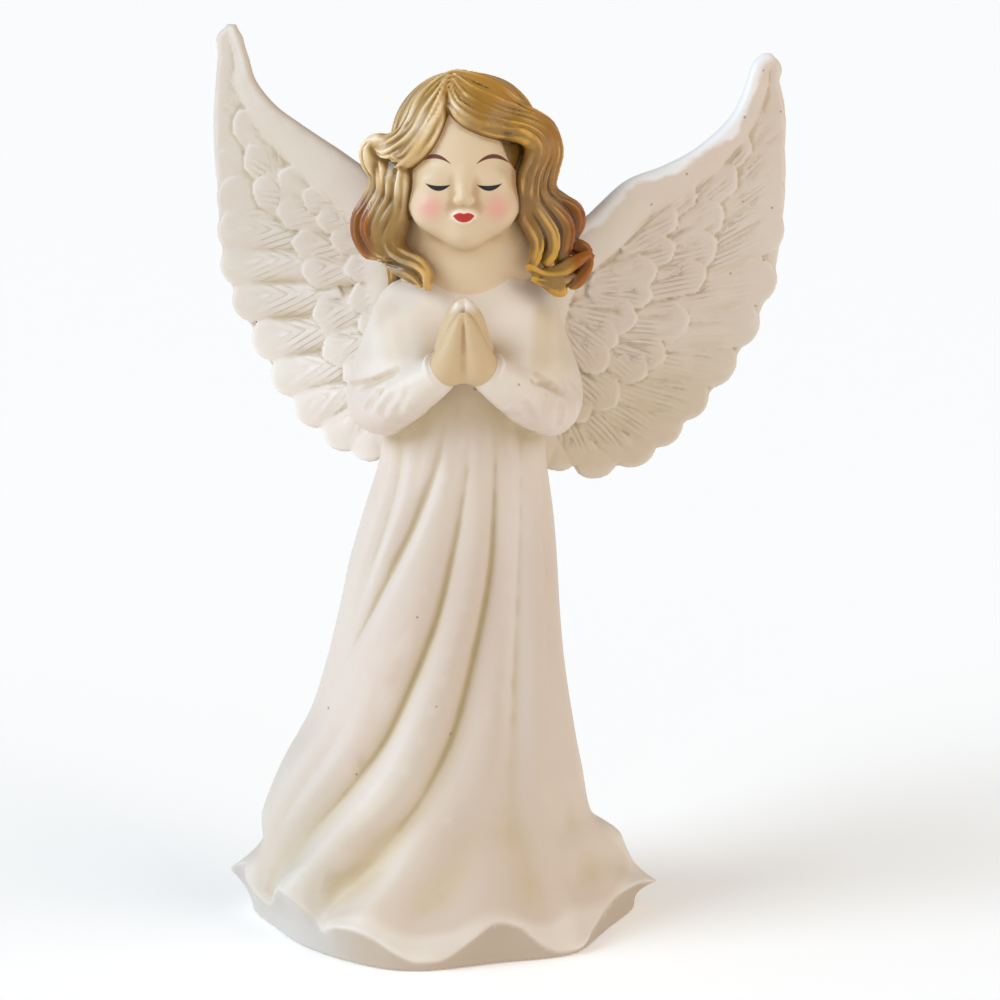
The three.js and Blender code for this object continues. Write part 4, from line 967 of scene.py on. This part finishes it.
# dry-brushed paint together with painted highlight: amber, gold and cream on the strand tops, the cream strongest on
# the lit left
fur = mix(tops * amber * 0.4, fur, srgb(198, 112, 0))
fur = mix(tops * amber.rsub(1.0) * n_mid.ramp(0.34, 0.54) * 0.8, fur, srgb(222, 166, 56))
fur = mix(tops * (left * 0.7 + 0.12) * amber.rsub(1.0) * n_patch.ramp(0.40, 0.58) * (mmz.ramp(113.0, 123.0) * 0.75 + 0.25), fur, srgb(246, 228, 194))

# face paint, on the front of the head only
fx = (mmx - HX)
ax = fx.abs()
front = mmy.ramp(-5.0, -7.0) * a_skin.ramp(-0.2, 0.1)
lash_w = ((ax - 4.1) / 2.05).pow(2.0).rsub(1.0).max(0.0) * 0.42
lash = (lash_w - (mmz - ((ax - 4.0).pow(2.0) * 0.16 + 125.75)).abs()).ramp(-0.06, 0.06) * (lash_w.ramp(0.0, 0.05))
brow_w = ((ax - 4.7) / 2.7).pow(2.0).rsub(1.0).max(0.0) * 0.32 + 0.03
brow = (brow_w - (mmz - ((ax - 4.6).pow(2.0) * -0.17 + 130.7)).abs()).ramp(-0.06, 0.06) * (((ax - 4.7).abs()).ramp(2.75, 2.6))
lip_top = (ax / 1.75).pow(2.0).rsub(1.0).max(0.0).pow(0.6) * 0.75 - ((ax / 0.45).pow(2.0) * -1.0).op("EXPONENT") * 0.22
lip_bot = (ax / 1.55).pow(2.0).rsub(1.0).max(0.0).pow(0.7) * 0.85
dz = mmz - 121.3
lip = (lip_top - dz).ramp(-0.08, 0.08) * (lip_bot + dz).ramp(-0.08, 0.08) * ax.ramp(1.8, 1.65)
cheek_r = ((ax - 5.3).pow(2.0) + (mmz - 122.6).pow(2.0) * 1.1).op("SQRT")
cheek = cheek_r.ramp(3.5, 0.2)
rim = (lip_top + 0.45 - dz).ramp(-0.2, 0.2) * (lip_bot + 0.4 + dz).ramp(-0.2, 0.2) * ax.ramp(2.3, 1.8)
flesh = mix(cheek * front * 0.6, flesh, srgb(230, 148, 138))
flesh = mix(rim * front * 0.55, flesh, srgb(246, 236, 224))
flesh = mix(brow * front, flesh, srgb(106, 50, 28))
flesh = mix(lash * front, flesh, srgb(24, 20, 20))
flesh = mix(lip * front, flesh, srgb(190, 44, 34))

# pinholes in the casting
pits = None
for x_, z_, r_ in ((2.2, 93.3, .34), (9.2, 95.1, .26), (-22.3, 39.5, .3), (-7.3, 56.4, .24), (-2.0, 37.0, .3), (-17.5, 29.6, .26), (-4.2, 42.0, .2),
                   (47.2, 135.1, .3), (37.4, 125.9, .26), (31.5, 120.9, .26), (50.3, 142.8, .22), (53.6, 135.8, .22), (52.4, 119.6, .26), (51.2, 110.8, .28), (47.3, 120.8, .22), (45.4, 108.6, .24)):
    y_ = min(v for v in (cloth.front(x_, z_), wings.front(x_, z_), 99.0) if v != 0.0)
    hole = ((mmx - x_).pow(2.0) + (mmy - y_).pow(2.0) + (mmz - z_).pow(2.0)).op("SQRT").ramp(r_ * 1.2, r_ * 0.5)
    pits = pits.max(hole) if pits else hole
# painted shade in tan down the front of the upper arms, beside the chest, and in the bend of the sleeves
def stroke(a, b, r):
    """1 along the middle of a painted line between two x, z points"""
    dx, dz_ = b[0] - a[0], b[1] - a[1]
    t = ((mmx - a[0]) * dx + (mmz - a[1]) * dz_).op("DIVIDE", dx * dx + dz_ * dz_, clamp=True)
    far = ((mmx - a[0] - t * dx).pow(2.0) + (mmz - a[1] - t * dz_).pow(2.0)).op("SQRT")
    return (far + (n_mid - 0.5) * 0.8).ramp(r, r * 0.2) * mmy.ramp(4.0, 2.0)


for pts_, r_, amount, tone in (([(-12.2, 105.0), (-11.0, 99.4)], 3.4, .4, (206, 176, 140)), ([(13.0, 104.4), (12.8, 98.0)], 2.6, .4, (196, 168, 120)),
                               ([(15.2, 103.5), (15.4, 97.5)], 3.6, .35, (212, 190, 148)),
                               ([(-18.0, 93.6), (-14.2, 94.9), (-10.4, 96.9)], .7, .34, (184, 154, 110)), ([(11.9, 96.0), (14.2, 94.2), (16.4, 92.7)], .7, .28, (184, 154, 110))):
    for a_, b_ in zip(pts_[:-1], pts_[1:]):
        ivory = mix(stroke(a_, b_, r_) * amount, ivory, srgb(*tone))
ivory = mix(pits * 0.6, ivory, srgb(120, 106, 78))

base = mix(is_skin, ivory, flesh)
base = mix(is_hair, base, fur)
links.new(base, bsdf.inputs["Base Color"])
bsdf.inputs["Roughness"].default_value = 0.5
rough = (n_mid - 0.5) * 0.18 + 0.46 - is_hair * 0.22
links.new(rough.s, bsdf.inputs["Roughness"])
bsdf.inputs["Specular IOR Level"].default_value = 0.42
bump = nodes.new("ShaderNodeBump")
bump.inputs["Strength"].default_value = 1.0
bump.inputs["Distance"].default_value = 0.0002
links.new(((n_fine * 0.5 + n_mid) * 0.25 - barb_line * (mmx.ramp(-2.0, 2.0) * 0.12 + 0.45)).s, bump.inputs["Height"])
links.new(bump.outputs[0], bsdf.inputs["Normal"])
me.materials.clear()
me.materials.append(mat)

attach(angel, "root")
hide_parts("angel_figurine")

# ------------------------------------------------------------------ floor, light, camera
floor = bpy.data.meshes.new("floor")
floor.from_pydata([(-12, -12, 0), (12, -12, 0), (12, 12, 0), (-12, 12, 0)], [], [(0, 1, 2, 3)])
fo = bpy.data.objects.new("floor", floor)
fo.location.z = -0.0002
bpy.context.scene.collection.objects.link(fo)
fm = bpy.data.materials.new("pale_floor")
fm.use_nodes = True
fb = fm.node_tree.nodes["Principled BSDF"]
fb.inputs["Base Color"].default_value = (0.97, 0.94, 0.90, 1)
fb.inputs["Emission Color"].default_value = (1, 1, 1, 1)
fb.inputs["Emission Strength"].default_value = 0.20
fb.inputs["Roughness"].default_value = 0.9
floor.materials.append(fm)

world = bpy.data.worlds.new("studio")
bpy.context.scene.world = world
world.use_nodes = True
world.node_tree.nodes["Background"].inputs[0].default_value = (1, 1, 1, 1)
world.node_tree.nodes["Background"].inputs[1].default_value = 0.33
bpy.context.scene.view_settings.view_transform = "Standard"
bpy.context.scene.view_settings.look = "None"


def sun(name, way, power, soft, tint):
    l = bpy.data.lights.new(name, "SUN")
    l.color = tint
    l.energy = power
    l.angle = math.radians(soft)
    o = bpy.data.objects.new(name, l)
    o.rotation_euler = mathutils.Vector(way).to_track_quat("-Z", "Y").to_euler()
    bpy.context.scene.collection.objects.link(o)


sun("key", (0.78, 0.32, -0.54), 1.80, 35, (0.81, 0.96, 1.13))
sun("front", (0.1, 0.94, -0.32), 0.2, 50, (1.05, 0.86, 0.62))
sun("edge", (0.97, 0.06, -0.2), 0.6, 40, (0.62, 0.92, 1.3))
sun("right", (-0.78, 0.3, -0.5), 1.0, 50, (1.04, 0.95, 0.84))

E = math.radians(12.0)
target = np.array([6.16, 0.0, 73.0]) + BODY
eye = target - 450.0 * np.array([0, math.cos(E), -math.sin(E)])
cam = bpy.data.cameras.new("camera")
cam.sensor_width = 36
cam.lens = 36 * 2703 / 1000
cam.clip_start = 0.01
co_ = bpy.data.objects.new("camera", cam)
co_.location = tuple(eye / 1000)
co_.rotation_euler = (math.pi / 2 - E, 0, 0)
bpy.context.scene.collection.objects.link(co_)
bpy.context.scene.camera = co_
